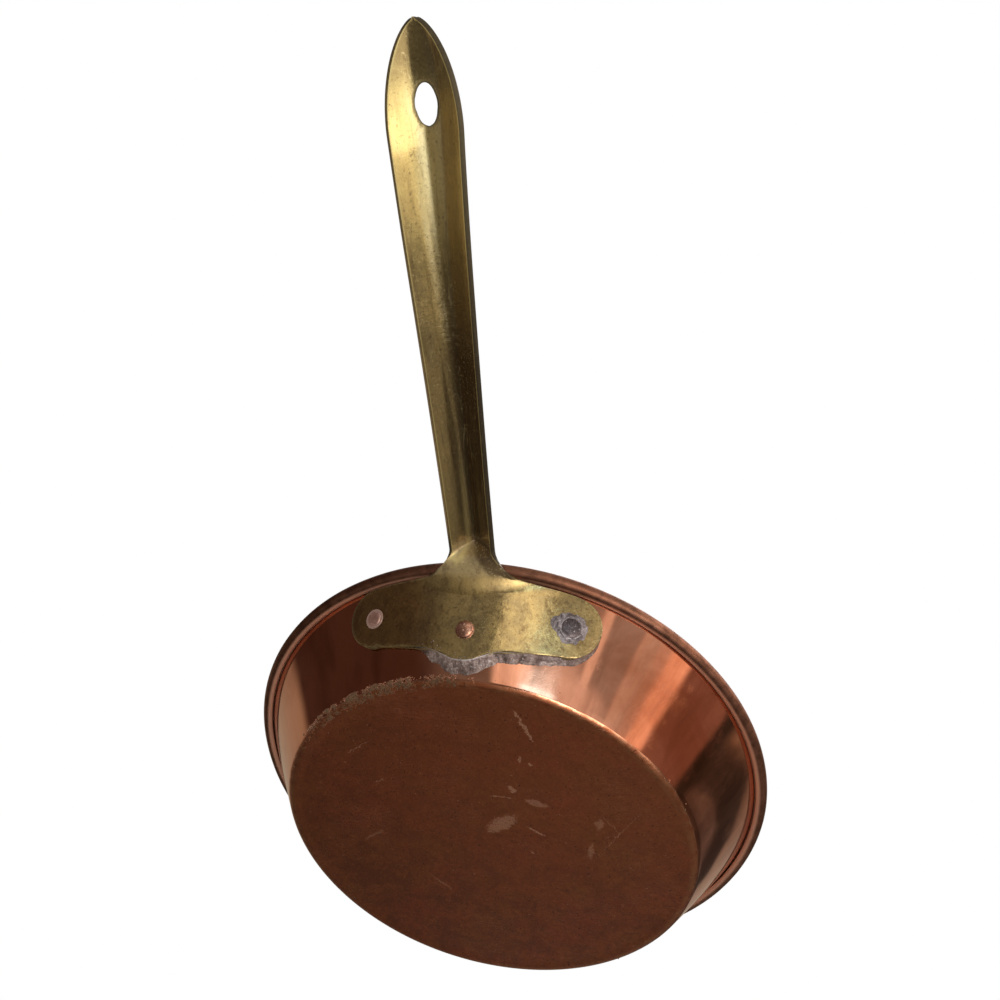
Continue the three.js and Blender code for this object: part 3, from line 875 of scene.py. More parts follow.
@dataclass(frozen=True)
class HandleBrass(Finish):
    """Worn yellow brass with olive and brown tarnish, dirty edges that also carry painted edge shade,
    painted shade over the channel's right flank, the neck and the flange's left part, and painted highlights
    along the lips and in the channel.
    """

    name: str = "handle brass"
    gold: Color = (0.60, 0.42, 0.165)
    # lemon: cleaner brass where the grip is held, and the colour of the painted highlights
    lemon: Color = (0.67, 0.52, 0.20)
    pale: Color = (0.74, 0.58, 0.29)
    olive: Color = (0.37, 0.26, 0.115)
    # brown: tarnish and stains, and the painted shade over the flange's left part
    brown: Color = (0.17, 0.098, 0.040)
    # painted shade: dark brown for the channel's right flank and the neck below it
    shade_brown: Color = (0.088, 0.050, 0.022)
    # dark colour of dirty edges, which also paints their shade
    dirt_and_shade: Color = (0.030, 0.022, 0.012)
    # dull: duller brass at the neck's saddle, and the painted shade on the grip's right side
    dull: Color = (0.46, 0.36, 0.20)
    grip_along: Pair = (-0.165, -0.225)
    # painted shade: where the grip's right side turns duller
    grip_shade_across: Pair = (0.0, 0.004)
    # painted shade: the channel below the grip, strong over its right flank
    channel_along: Pair = (-0.099, -0.106)
    channel_right: Pair = (-0.0030, 0.0010)
    # painted shade: the flange's left part
    left_shade_across: Pair = (-0.014, -0.030)
    left_shade_along: Pair = (-0.101, -0.097)
    neck_along: Pair = (-0.1085, -0.1055)
    neck_up: Pair = (0.0222, 0.0255)
    neck_rise: float = 0.12
    neck_across: Pair = (0.030, 0.008)
    saddle_along: Pair = (-0.0965, -0.0995)
    # painted shade: the right flank's shade carried down into the neck
    neck_shade_start: float = 0.104
    neck_shade_edge: Pair = (-0.0010, 0.0016)
    neck_shade_along: Pair = (-0.0955, -0.0990)
    tip_stain: Pair = (-0.243, -0.252)
    tip_dull: Pair = (-0.243, -0.251)
    far_across: Pair = (-0.0020, -0.0050)
    far_along: Pair = (-0.106, -0.114)
    # painted highlights: a stripe beside the channel's valley and a crescent at its end
    stripe_middle: float = -0.0019
    stripe_half: float = 0.0012
    stripe_start: Pair = (-0.150, -0.112)
    stripe_end: Pair = (-0.1035, -0.1065)
    crescent_middle: Pair = (-0.0050, -0.1018)
    crescent_half: float = 0.0022
    crescent_bend: float = 0.8
    crescent_out: Pair = (0.0042, 0.0016)

    def rubbed(self, net: Net, across: Socket, along: Socket) -> Socket:
        """Painted highlights in the channel: a stripe beside its valley and a crescent at its end.

        Args:
            net: the material's nodes.
            across: the place across the handle.
            along: the place along it.

        Returns:
            The mask.
        """
        stripe = net.times(
            net.span(net.away(across, self.stripe_middle), self.stripe_half, 0.0),
            net.span(along, *self.stripe_start), net.span(along, *self.stripe_end, 0.0, 0.5))
        out = net.away(across, self.crescent_middle[0])
        bend = net.plus(along, net.times(out, self.crescent_bend))
        crescent = net.times(
            net.span(net.away(bend, self.crescent_middle[1]), self.crescent_half, 0.0),
            net.span(out, *self.crescent_out, 0.0, 0.8))
        return net.most(stripe, crescent)

    def dirt_and_edge_shade(self, net: Net, place: Socket) -> Socket:
        """Where the edges are darkened, by real soiling and by painted edge shade: along the flange's edge
        and the cut lips, less on the far side.

        Args:
            net: the material's nodes.
            place: Object coordinates.

        Returns:
            The mask.
        """
        across, along, _ = net.parts(place)
        patchy = net.span(net.cloud(place, 420.0, 5.0, 0.7), 0.34, 0.62, 0.25, 1.0)
        dirty = net.most(net.times(net.stored("edge"), patchy), net.times(net.stored("cut"), 0.89))
        far = net.span(across, *self.far_across, 0.0, 0.65)
        return net.times(dirty, net.rest(net.times(far, net.span(along, *self.far_along))))

    def dress(self, net: Net, shader: Node, place: Socket) -> None:
        """Feeds the shader from clouds drawn out along the handle and from the edge attributes, with painted
        shade and painted highlights laid over them.

        Args:
            net: the material's nodes.
            shader: shader to feed.
            place: Object coordinates.
        """
        across, along, up = net.parts(place)
        beside = net.away(across)
        held = net.span(along, *self.grip_along)
        # painted shade on the grip's right side
        right = net.times(held, net.span(across, *self.grip_shade_across))
        # painted shade: the channel below the grip is darker over its right flank and a little over its left
        lower_channel = net.times(net.span(along, *self.channel_along), net.rest(held))
        shaded = net.times(lower_channel, net.span(across, *self.channel_right, 0.20, 0.95))
        # painted shade over the flange's left part
        flange_left_shade = net.span(across, *self.left_shade_across, 0.0, 0.45)
        flange_left_shade = net.times(flange_left_shade, net.span(along, *self.left_shade_along))
        neck = net.times(
            net.span(along, *self.neck_along), net.span(beside, *self.neck_across),
            net.span(net.less(up, net.times(beside, self.neck_rise)), *self.neck_up))
        saddle = net.times(neck, net.span(along, *self.saddle_along))
        # painted shade carried from the right flank down into the neck
        neck_shade = net.times(
            net.span(net.less(across, net.plus(along, self.neck_shade_start)), *self.neck_shade_edge), neck,
            net.span(along, *self.neck_shade_along, 0.0, 0.85))
        # painted highlights: a pale line inside the lips, and the stripe and crescent in the channel
        lip = net.times(net.stored("lip"), net.between(held, 0.60, 0.95))
        lip = net.most(lip, self.rubbed(net, across, along))
        # dirty edges with painted edge shade
        dirt_and_edge_shade = self.dirt_and_edge_shade(net, place)

        drawn = net.mapped(place, (2.4, 0.5, 2.4))
        cloudy = net.group(GROUPS.tarnish, Vector=drawn, Scale=42.0, Level=0.47, Softness=0.16)
        streaky = net.mapped(place, (7.0, 0.30, 7.0))
        streaks = net.group(GROUPS.tarnish, Vector=streaky, Scale=60.0, Level=0.40, Softness=0.12)
        stained = net.group(GROUPS.tarnish, Vector=place, Scale=90.0, Level=0.60, Softness=0.14)
        grain = net.cloud(place, 1150.0, 4.0, 0.7)
        lines = net.group(GROUPS.hairlines, Vector=place, Scale=95.0, Amount=0.9)
        spots = net.group(GROUPS.specks, Vector=place, Scale=330.0, Size=0.11)
        pulled = net.cloud(net.mapped(place, (520.0, 7.0, 520.0)), 1.0, 1.0, 0.4)
        color = net.coats(
            self.gold, (cloudy, self.olive), (net.times(held, 0.6), self.lemon),
            (net.times(right, 0.6), self.dull), (shaded, self.shade_brown), (flange_left_shade, self.brown),
            (net.times(saddle, 0.5), self.dull), (neck_shade, self.shade_brown),
            (net.times(stained, net.span(along, *self.tip_stain, 0.0, 0.6)), self.brown),
            (net.times(streaks, net.between(held, 0.6, 0.4)), self.brown),
            (net.span(grain, 0.54, 0.74, 0.0, 0.65), self.pale),
            (net.span(grain, 0.46, 0.26, 0.0, 0.80), self.brown),
            (net.times(lines, 0.35), self.pale), (net.times(spots, 0.6), self.brown),
            (net.span(net.away(pulled, 0.5), 0.010, 0.0, 0.0, 0.4), self.pale),
            (lip, self.lemon), (dirt_and_edge_shade, self.dirt_and_shade))
        smudge = net.span(net.cloud(place, 70.0, 4.0, 0.6), 0.36, 0.68)
        gloss = net.plus(
            net.between(smudge, 0.10, 0.19), net.times(net.less(grain, 0.5), 0.20),
            net.times(held, 0.05))
        gloss = net.steps(gloss, (neck, 0.42), (dirt_and_edge_shade, 0.7))
        metal = net.steps(
            0.95, (lower_channel, 0.80), (saddle, 0.65), (right, 0.88), (net.span(along, *self.tip_dull), 0.80),
            (lip, 0.3), (dirt_and_edge_shade, 0.35))
        self.coat(net, shader, color, metal, gloss)
        net.feed(shader.inputs["Specular IOR Level"], net.between(dirt_and_edge_shade, 0.5, 0.15))
        height = net.less(grain, net.plus(net.times(lines, 0.25), net.times(spots, 0.6)))
        self.relief(
            net, shader, (net.cloud(place, 60.0, 3.0), 0.12), (net.cloud(drawn, 130.0, 3.0), 0.05),
            (height, 0.014))


@dataclass(frozen=True)
class WornMetal(Finish):
    """Plain worn metal: two tones in clouds, specks, hairlines, grain, and what is rubbed bright or carries
    a painted highlight.
    """

    name: str
    light: Color
    dark: Color
    speck: Color
    gloss: Pair
    metal: float = 1.0
    clouds: float = 260.0
    level: float = 0.5
    specks: float = 700.0
    relief_depth: float = 0.05
    grain: float = 2400.0

    def dress(self, net: Net, shader: Node, place: Socket) -> None:
        """Feeds the shader from clouds, specks, hairlines and the rubbed attribute.

        Args:
            net: the material's nodes.
            shader: shader to feed.
            place: Object coordinates.
        """
        cloudy = net.group(GROUPS.tarnish, Vector=place, Scale=self.clouds, Level=self.level, Softness=0.2)
        spots = net.group(GROUPS.specks, Vector=place, Scale=self.specks, Size=0.24)
        lines = net.group(GROUPS.hairlines, Vector=place, Scale=240.0, Amount=0.7)
        grain = net.cloud(place, self.grain, 3.0, 0.65)
        # the rubbed attribute marks real rub rings on rivets and a painted highlight on the solder seam
        color = net.coats(
            self.light, (cloudy, self.dark), (net.times(net.most(spots, lines), 0.7), self.speck),
            (net.span(grain, 0.54, 0.72, 0.0, 0.5), self.speck),
            (net.span(grain, 0.46, 0.28, 0.0, 0.6), self.dark), (net.stored("rubbed"), self.speck))
        gloss = net.between(net.times(net.plus(cloudy, grain), 0.5), *self.gloss)
        self.coat(net, shader, color, self.metal, gloss)
        self.relief(net, shader, (net.plus(grain, spots), self.relief_depth))


@dataclass(frozen=True)
class WipedTin(Finish):
    """Tin wiped on by hand: soft swirls, yellow-brown stains and cooking scratches."""

    name: str = "wiped tin"
    light: Color = (0.56, 0.55, 0.52)
    dark: Color = (0.34, 0.33, 0.31)
    stain: Color = (0.30, 0.24, 0.165)
    scratch: Color = (0.70, 0.69, 0.66)

    def dress(self, net: Net, shader: Node, place: Socket) -> None:
        """Feeds the shader from swirls round the pan's middle, stains and scratches.

        Args:
            net: the material's nodes.
            shader: shader to feed.
            place: Object coordinates.
        """
        x, y, z = net.parts(place)
        flat = net.join(x, y, 0.0)
        out = net.join(net.times(net.length(flat), 420.0), z, 0.0)
        arcs = net.shifted(out, net.vector("NORMALIZE", flat), (1.3, 1.3, 0.0))
        swirl = net.span(net.cloud(arcs, 1.0, 5.0, 0.6, 0.8), 0.36, 0.66)
        wiped = net.group(GROUPS.tarnish, Vector=place, Scale=34.0, Level=0.5, Softness=0.22)
        moved = net.vector("ADD", place, (0.2, 0.4, 0.0))
        stained = net.group(GROUPS.tarnish, Vector=moved, Scale=26.0, Level=0.40, Softness=0.13)
        lines = net.group(GROUPS.hairlines, Vector=place, Scale=70.0, Amount=1.0)
        color = net.coats(
            self.light, (net.times(net.plus(swirl, wiped), 0.5), self.dark),
            (net.times(stained, 0.55), self.stain), (net.times(lines, 0.6), self.scratch))
        gloss = net.plus(net.between(swirl, 0.26, 0.38), net.times(stained, 0.14))
        self.coat(net, shader, color, 1.0, gloss)
        self.relief(net, shader, (net.plus(swirl, wiped), 0.05), (net.times(lines, -1.0), 0.02))


class Stock(Enum):
    """Worn metals that the small pieces are made of."""

    RIVET_COPPER = WornMetal(
        "rivet copper", light=(0.56, 0.27, 0.165), dark=(0.24, 0.095, 0.052), speck=(0.80, 0.54, 0.42),
        gloss=(0.18, 0.34), metal=0.85)
    RIVET_WORN = WornMetal(
        "worn rivet", light=(0.50, 0.27, 0.20), dark=(0.26, 0.118, 0.082), speck=(0.70, 0.48, 0.40),
        gloss=(0.22, 0.40), metal=0.5)
    RIVET_TINNED = WornMetal(
        "tinned rivet", light=(0.11, 0.085, 0.082), dark=(0.045, 0.034, 0.034), speck=(0.34, 0.30, 0.29),
        gloss=(0.28, 0.46))
    SOLDER = WornMetal(
        "dull solder", light=(0.44, 0.320, 0.272), dark=(0.09, 0.050, 0.037), speck=(0.80, 0.70, 0.65),
        gloss=(0.38, 0.66), metal=0.55, clouds=190.0, relief_depth=0.28, grain=950.0)
    BRIGHT_SOLDER = WornMetal(
        "rubbed solder", light=(0.33, 0.28, 0.275), dark=(0.10, 0.075, 0.072), speck=(0.74, 0.68, 0.67),
        gloss=(0.32, 0.60), metal=0.75, clouds=300.0, level=0.52, specks=1100.0, relief_depth=0.12)
    CRUMBS = WornMetal(
        "burnt crumbs", light=(0.165, 0.082, 0.030), dark=(0.075, 0.033, 0.013), speck=(0.28, 0.165, 0.070),
        gloss=(0.70, 0.92), metal=0.0, clouds=420.0, specks=1300.0, relief_depth=0.10)
    WIRE = WornMetal(
        "rim wire", light=(0.34, 0.33, 0.32), dark=(0.17, 0.15, 0.14), speck=(0.30, 0.20, 0.14),
        gloss=(0.30, 0.50))


# The pan


@dataclass(frozen=True)
class PanSection:
    """Lengthwise section of the pan, and places on its wall."""

    rim_radius: float = 99.9
    rim_height: float = 32.0
    base_radius: float = 75.0
    copper: float = 1.0
    base_corner: float = 3.0
    roll_radius: float = 2.25
    roll_opening: float = 64.8
    fit_gap: float = 0.3
    tin: float = 0.4
    tin_below_roll: float = 1.0
    flange_below_roll: float = 0.5
    side_rivet_share: float = 0.326
    centre_rivet_share: float = 0.549

    @cached_property
    def roll_centre(self) -> Pair:
        """Centre of the rolled rim."""
        return self.rim_radius - self.roll_radius, self.rim_height

    @cached_property
    def flare(self) -> float:
        """Angle of the wall from the upright."""
        out, up = self.roll_centre[0] - self.base_radius, self.roll_centre[1]
        return atan2(out, up) - asin((self.roll_radius - self.copper) / hypot(out, up))

    @cached_property
    def wall_up(self) -> Pair:
        """Unit step up the wall."""
        return sin(self.flare), cos(self.flare)

    @cached_property
    def wall_out(self) -> Pair:
        """Unit step off the wall."""
        return cos(self.flare), -sin(self.flare)

    @cached_property
    def roll_slant(self) -> float:
        """Slant height of the roll's centre."""
        radius, height = self.roll_centre
        return (radius - self.base_radius) * self.wall_up[0] + height * self.wall_up[1]

    @cached_property
    def corner_bend(self) -> float:
        """Share of the corner's radius that it takes off base and wall."""
        return tan((pi / 2 - self.flare) / 2)

    @cached_property
    def flange_top(self) -> float:
        """Slant height of the flange's top edge."""
        return self.roll_slant - self.roll_radius - self.flange_below_roll

    @cached_property
    def wall_span(self) -> float:
        """Slant of the straight wall below the flange's top edge."""
        return self.flange_top - self.base_corner * self.corner_bend

    @cached_property
    def side_rivet_slant(self) -> float:
        """Slant height of the two outer rivets."""
        return self.flange_top - self.side_rivet_share * self.wall_span

    @cached_property
    def wrap_radius(self) -> float:
        """Radius on which sideways lengths are measured."""
        return self.base_radius + self.side_rivet_slant * self.wall_up[0]

    def wall_point(self, slant: float, offset: float) -> Pair:
        """Radius and height a distance up the wall and off its outer face."""
        return (self.base_radius + slant * self.wall_up[0] + offset * self.wall_out[0],
                slant * self.wall_up[1] + offset * self.wall_out[1])

    @staticmethod
    def around(radius: float, height: float, angle: float) -> Vector:
        """Point of a section, turned round the pan."""
        return Vector((radius * sin(angle), -radius * cos(angle), height))

    def on_wall(self, across: float, slant: float, offset: float) -> Vector:
        """Point near the wall, an arc length sideways from the handle's plane."""
        return self.around(*self.wall_point(slant, offset), across / self.wrap_radius)

    def outward(self, across: float) -> Vector:
        """The wall's outward normal."""
        return self.around(*self.wall_out, across / self.wrap_radius)

    def corner(self, depth: float, steps: int) -> list[Pair]:
        """Corner between base and wall on a face that lies a depth inside the outer face.

        Args:
            depth: how far inside.
            steps: parts of the bend.

        Returns:
            Points of the section.
        """
        radius = self.base_corner - depth
        if radius <= 0:
            return [(self.base_radius - depth * self.corner_bend, depth)]
        centre = (self.base_radius - self.base_corner * self.corner_bend, self.base_corner)
        return arc(centre, radius, -pi / 2, -self.flare, steps)


@dataclass
class Pan:
    """Copper shell, tin lining, rim wire and the crumbs burnt on to the base's edge."""

    section: PanSection
    sides: int = 320
    base_rings: int = 14
    wall_rings: int = 24
    corner_rings: int = 9
    edge_rings: int = 5
    roll_rings: int = 30
    lip_rings: int = 6
    hidden_rings: int = 4
    dish: float = 0.25
    dish_edge: float = 4.0
    wobble: float = 0.10
    wobble_size: float = 34.0
    beat_from: Pair = (1.5, 8.0)
    beat_to: Pair = (40.0, 10.0)
    crumbs: Lumps = Lumps(1.5e6, (0.12, 0.40), 0.7, 7)
    crumb_floor: float = 0.03
    crumb_inside: Pair = (2.2, 0.1)
    crumb_top: float = 2.6
    crumb_least: float = 0.02
    crumb_heaps: tuple[Triple, ...] = ((0.85, -0.42, 0.20), (0.2, -0.8, 0.3))
    crumb_middle: float = 0.40
    crumb_fall: float = 1.7
    crumb_patch: float = 5.0
    crumb_patchy: Pair = (0.22, 2.0)
    crumb_bend: int = 6
    crumb_rows: int = 361

    def run_between(self, first: Pair, last: Pair, steps: int) -> list[Pair]:
        """Points strictly between two points."""
        return list(zip(*(spread(a, b, steps) for a, b in zip(first, last))))[1:-1]

    def shell_profile(self) -> list[Pair]:
        """Section of the copper: base, wall, roll, its rounded lip, and back down inside.

        Returns:
            Points of the section.
        """
        s = self.section
        wall_side = atan2(-s.wall_out[1], -s.wall_out[0])
        lip = wall_side - tau + radians(s.roll_opening)
        bore = s.roll_radius - s.copper
        middle = s.roll_radius - s.copper / 2
        lip_centre = (s.roll_centre[0] + middle * cos(lip), s.roll_centre[1] + middle * sin(lip))
        outside = s.corner(0.0, self.corner_rings)
        inner_roll = arc(s.roll_centre, bore, wall_side, lip, self.roll_rings)
        outer_roll = arc(s.roll_centre, s.roll_radius, lip, wall_side, self.roll_rings)
        lip_round = arc(lip_centre, s.copper / 2, lip + pi, lip, self.lip_rings)[1:-1]
        inside = s.corner(s.copper, self.corner_rings)[::-1]
        return [
            (0.0, self.dish), *self.dished(outside[0][0]), *outside,
            *self.run_between(outside[-1], inner_roll[0], self.wall_rings),
            *inner_roll, *lip_round, *outer_roll,
            *self.run_between(outer_roll[-1], inside[0], self.wall_rings), *inside,
            *self.run_between(inside[-1], (0.0, s.copper), self.hidden_rings), (0.0, s.copper),
        ]

    def dished(self, reach: float) -> list[Pair]:
        """Underside of the base, which stands clear of the worktop inside its edge.

        Args:
            reach: radius at which the corner begins.

        Returns:
            Points of the section.
        """
        flat = reach - self.dish_edge
        radii = [*spread(0.0, flat, self.base_rings)[1:], *spread(flat, reach, self.edge_rings)[1:-1]]
        return [(r, self.dish * ease((reach - r) / self.dish_edge)) for r in radii]

    def lining_profile(self) -> list[Pair]:
        """Section of the tin skin inside the copper.

        Returns:
            Points of the section.
        """
        s = self.section
        outer = s.copper + s.fit_gap
        inner = outer + s.tin
        top = s.roll_slant - s.tin_below_roll
        under, over = s.corner(outer, self.corner_rings), s.corner(inner, self.corner_rings)[::-1]
        places = ((top, outer), (top + s.tin / 2, outer + s.tin / 2), (top, inner))
        edge = [s.wall_point(slant, -depth) for slant, depth in places]
        return [
            (0.0, outer), *under, *self.run_between(under[-1], edge[0], self.hidden_rings + 2), *edge,
            *self.run_between(edge[-1], over[0], self.wall_rings), *over,
            *self.run_between(over[-1], (0.0, inner), self.base_rings), (0.0, inner),
        ]

    def beat(self, piece: Piece) -> None:
        """Gives a turned sheet the slight waves of a hand-finished one, and none where it rests.

        Args:
            piece: turned sheet.
        """
        for vertex in piece.data.vertices:
            place = vertex.co / MM
            (low, rise), (high, fall) = self.beat_from, self.beat_to
            lift = ease((place.z - low) / rise) * ease((high - place.z) / fall)
            radial = Vector((place.x, place.y, 0.0))
            if lift > 0.0 and radial.length > 1.0:
                wave = self.wobble * lift * rough(place, self.wobble_size, 2)
                vertex.co += radial.normalized() * (wave * MM)

    def crumb_carrier(self) -> Piece:
        """Strip over the base's edge, with a cover attribute for where crumbs stick.

        Returns:
            The strip.
        """
        s = self.section
        bend = s.corner(0.0, self.crumb_bend)
        inside, height = self.crumb_inside
        strip = [(bend[0][0] - inside, height), *bend, s.wall_point(self.crumb_top, 0.0)]
        columns = len(strip)
        points, cover = [], []
        for angle in spread(-pi, pi, self.crumb_rows - 1):
            humps = (share * bell(angle, middle, width) for share, middle, width in self.crumb_heaps)
            heap = sum(humps, self.crumb_least)
            for j, (r, h) in enumerate(strip):
                place = s.around(r, h, angle)
                points.append(place)
                near = 1.0 - abs(j / (columns - 1) - self.crumb_middle) * self.crumb_fall
                patch = ease(self.crumb_patchy[0] + self.crumb_patchy[1] * rough(place, self.crumb_patch))
                cover.append(clamp(heap * near * patch))
        faces = grid_faces(self.crumb_rows, columns)
        carrier = mesh_object("base_crumbs", points, [face[::-1] for face in faces])
        paint(carrier.data, "cover", cover)
        return carrier

    def level_off(self, piece: Piece) -> None:
        """Grinds a piece flat just above the worktop."""
        for vertex in piece.data.vertices:
            vertex.co.z = max(vertex.co.z, self.crumb_floor * MM)

    def build(self, frame: dict[str, Any]) -> None:
        """Makes and seats the pan's pieces.
        """
        for name, profile, finish, slot, node in (
            ("copper_shell", self.shell_profile(), PanCopper(), "copper", "pan_body"),
            ("tin_skin", self.lining_profile(), WipedTin(), "tin", "tin_lining"),
        ):
            sheet = profile_object(name, profile)
            run_tree(sheet, TREES.turned, {"Sides": self.sides, "Finish": finish.make()})
            self.beat(sheet)
            seat(sheet, slot, node)

        crumbs = self.crumbs.strew(self.crumb_carrier(), Stock.CRUMBS.value.make())
        self.level_off(crumbs)
        seat(crumbs, "copper")

        wire = frame["nodes"]["rim_wire"]
        wire.data.materials.clear()
        wire.data.materials.append(Stock.WIRE.value.make())


# The handle


@dataclass
class Handle:
    """One brass stamping: flange on the wall, neck round the rim, channel and leaf-shaped end."""

    section: PanSection
    brass: float = 1.7
    reach: float = 161.5
    neck_gap: float = 1.2
    neck_half_width: float = 7.35
    neck_flare: float = 1.8
    grip_half_width: float = 10.6
    grip_from_tip: float = 27.0
    grip_swell: float = 1.4
    tip_fullness: float = 0.63
    tip_half_width: float = 0.6
    lip_above_roll: float = 0.25
    handle_rise: float = 3.6
    tip_lift: float = 3.48
    tip_lift_length: float = 66.0
    depth_at_neck: float = 6.6
    depth_at_grip: float = 6.2
    round_at_neck: float = 0.3
    round_at_grip: float = 0.7
    round_at_tip: float = 0.95
    bowl_length: float = 3.0
    least_depth: float = 0.1
    hole_length: float = 11.0
    hole_width: float = 7.0
    hole_from_tip: float = 21.0
    end_reach: float = 34.0
    end_drop_share: float = 0.312
    end_radius_share: float = 0.303
    lower_edge_share: float = 0.746
    bulge_share: float = 0.091
    bulge_half_width: float = 14.0
    neck_fillet_reach: float = 12.5
    neck_sag_share: float = 0.186
    neck_angles: tuple[float, ...] = (-80.0, -45.0, -15.0)
    half_columns: int = 23
    # columns just inside the lips carry the painted highlight line
    lip_columns: Pair = (0.97, 0.985)
    end_steps: int = 20
    top_steps: int = 10
    bowl_steps: int = 10
    grip_steps: int = 24
    tip_steps: int = 18
    row_step: float = 1.15
    smooth_before: int = 14
    smooth_after: int = 8
    neck_smoothing: int = 60
    bowl_smoothing: int = 4
    smoothing_feather: int = 18
    roll_clearance: float = 0.15
    edge_crease: float = 0.8
    # dark edges are dirty and also carry painted edge shade; the lip line is a painted highlight
    dirt_reach: float = 1.1
    lip_dirt_reach: float = 0.14
    flange_dirt: float = 0.75
    lip_start: float = 1.0
    lip_highlight_width: float = 0.28
    hole_ring: float = 0.5
    hole_dirt_reach: float = 0.6
    hole_snap: float = 1.6
    hole_spread: float = 1.16

    @cached_property
    def face(self) -> float:
        """Outer face of the flange, off the wall."""
        return self.section.fit_gap + self.brass

    @cached_property
    def neck_radius(self) -> float:
        """Middle of the neck's sheet, from the roll's centre."""
        return self.section.roll_radius + self.neck_gap + self.brass / 2

    @cached_property
    def fold(self) -> Pair:
        """Station and height where the channel starts."""
        angle = radians(self.neck_angles[-1])
        centre = self.section.roll_centre
        return centre[0] + self.neck_radius * cos(angle), centre[1] + self.neck_radius * sin(angle)

    @cached_property
    def tip_station(self) -> float:
        """Station of the tip."""
        return self.section.rim_radius + self.reach

    @cached_property
    def grip_station(self) -> float:
        """Widest station."""
        return self.tip_station - self.grip_from_tip

    @cached_property
    def hole_station(self) -> float:
        """Station of the hanging hole."""
        return self.tip_station - self.hole_from_tip

    @cached_property
    def end_centre(self) -> Pair:
        """Centre of the flange's right end, sideways and up the wall."""
        return self.end_reach, self.section.flange_top - self.end_drop_share * self.section.wall_span

    @cached_property
    def end_radius(self) -> float:
        """Radius of the flange's ends."""
        return self.end_radius_share * self.section.wall_span

    def bulge(self, across: float) -> float:
        """Round bulge at the middle of the flange's lower edge, from 0 to 1."""
        return max(0.0, 1 - (across / self.bulge_half_width) ** 2) ** 2

    def lower_edge(self, across: float) -> float:
        """Slant height of the flange's lower edge.

        Args:
            across: way sideways from the handle's plane.

        Returns:
            The slant height.
        """
        s = self.section
        flank = min(abs(across) / self.end_reach, 1.0)
        middle = s.flange_top - self.lower_edge_share * s.wall_span
        sag = mix(middle, self.end_centre[1] - self.end_radius, flank**2)
        return sag - self.bulge_share * s.wall_span * self.bulge(across)

    def flange_rows(self, columns: Sequence[float]) -> list[list[Vector]]:
        """Rows of the flange's middle surface, from the lower edge to the neck.

        Args:
            columns: shares of the half width.

        Returns:
            The rows.
        """
        s = self.section
        ends = arc(self.end_centre, self.end_radius, -pi / 2, pi / 2, self.end_steps)
        reaches = spread(ends[-1][0], self.neck_fillet_reach, self.top_steps)
        ends += list(zip(reaches, spread(ends[-1][1], s.flange_top, self.top_steps)))[1:]
        rows = []
        for i, (reach, slant) in enumerate(ends):
            row = []
            for c in columns:
                edge_sag = self.lower_edge(self.end_reach * c) - self.lower_edge(self.end_reach)
                round_sag = -self.neck_sag_share * s.wall_span * (1 - c**2)
                sag = mix(edge_sag, round_sag, i / (len(ends) - 1))
                row.append(s.on_wall(reach * c, slant + sag, s.fit_gap + self.brass / 2))
            rows.append(row)
        return rows

    def neck_rows(self, columns: Sequence[float]) -> list[list[Vector]]:
        """Rows that pass under and outside the rolled rim.

        Args:
            columns: shares of the half width.

        Returns:
            The rows.
        """
        rows = []
        for i, degrees in enumerate(self.neck_angles):
            angle = radians(degrees)
            radius = self.section.roll_centre[0] + self.neck_radius * cos(angle)
            height = self.section.roll_centre[1] + self.neck_radius * sin(angle)
            share = (i + 1) / len(self.neck_angles)
            half = mix(self.neck_fillet_reach, self.half_width(self.fold[0]), share)
            rows.append([self.section.around(radius, height, half * c / radius) for c in columns])
        return rows

    def half_width(self, station: float) -> float:
        """Half width of the channel, at the middle of its lips.

        Args:
            station: distance from the pan's middle.

        Returns:
            The half width.
        """
        swell = covered(station, self.fold[0], self.grip_station - self.fold[0]) ** self.grip_swell
        flare_out = self.neck_flare * (1 - covered(station, self.fold[0], self.bowl_length)) ** 2
        leaf = (1 - covered(station, self.grip_station, self.grip_from_tip) ** 2) ** self.tip_fullness
        half = mix(self.neck_half_width, self.grip_half_width, swell) * leaf
        return max(half + flare_out, self.tip_half_width)

    def depth(self, station: float) -> float:
        """Depth of the channel, which runs out in a bowl at either end.

        Args:
            station: distance from the pan's middle.

        Returns:
            The depth.
        """
        bowl = sin(pi / 2 * covered(station, self.fold[0], self.bowl_length))
        point = 1 - covered(station, self.grip_station, self.grip_from_tip) ** 2
        start = self.fold[0] + self.bowl_length
        along = covered(station, start, self.grip_station - start)
        return max(mix(self.depth_at_neck, self.depth_at_grip, along) * bowl * point, self.least_depth)

    def round_share(self, station: float) -> float:
        """Share of the half width that the rounded bottom takes.

        Args:
            station: distance from the pan's middle.

        Returns:
            The share.
        """
        start = self.fold[0] + self.bowl_length
        along = covered(station, start, self.grip_station - start)
        to_tip = covered(station, self.grip_station, self.grip_from_tip)
        return mix(mix(self.round_at_neck, self.round_at_grip, along), self.round_at_tip, to_tip)

    def lip_height(self, station: float) -> float:
        """Height of the channel's lips.

        Args:
            station: distance from the pan's middle.

        Returns:
            The height.
        """
        start = self.section.rim_height + self.lip_above_roll
        dip = (start - self.fold[1]) * (1 - ease((station - self.fold[0]) / self.bowl_length))
        curl = covered(station, self.tip_station - self.tip_lift_length, self.tip_lift_length)
        rise = (station - self.fold[0]) * tan(radians(self.handle_rise))
        return start - dip + rise + self.tip_lift * curl**2

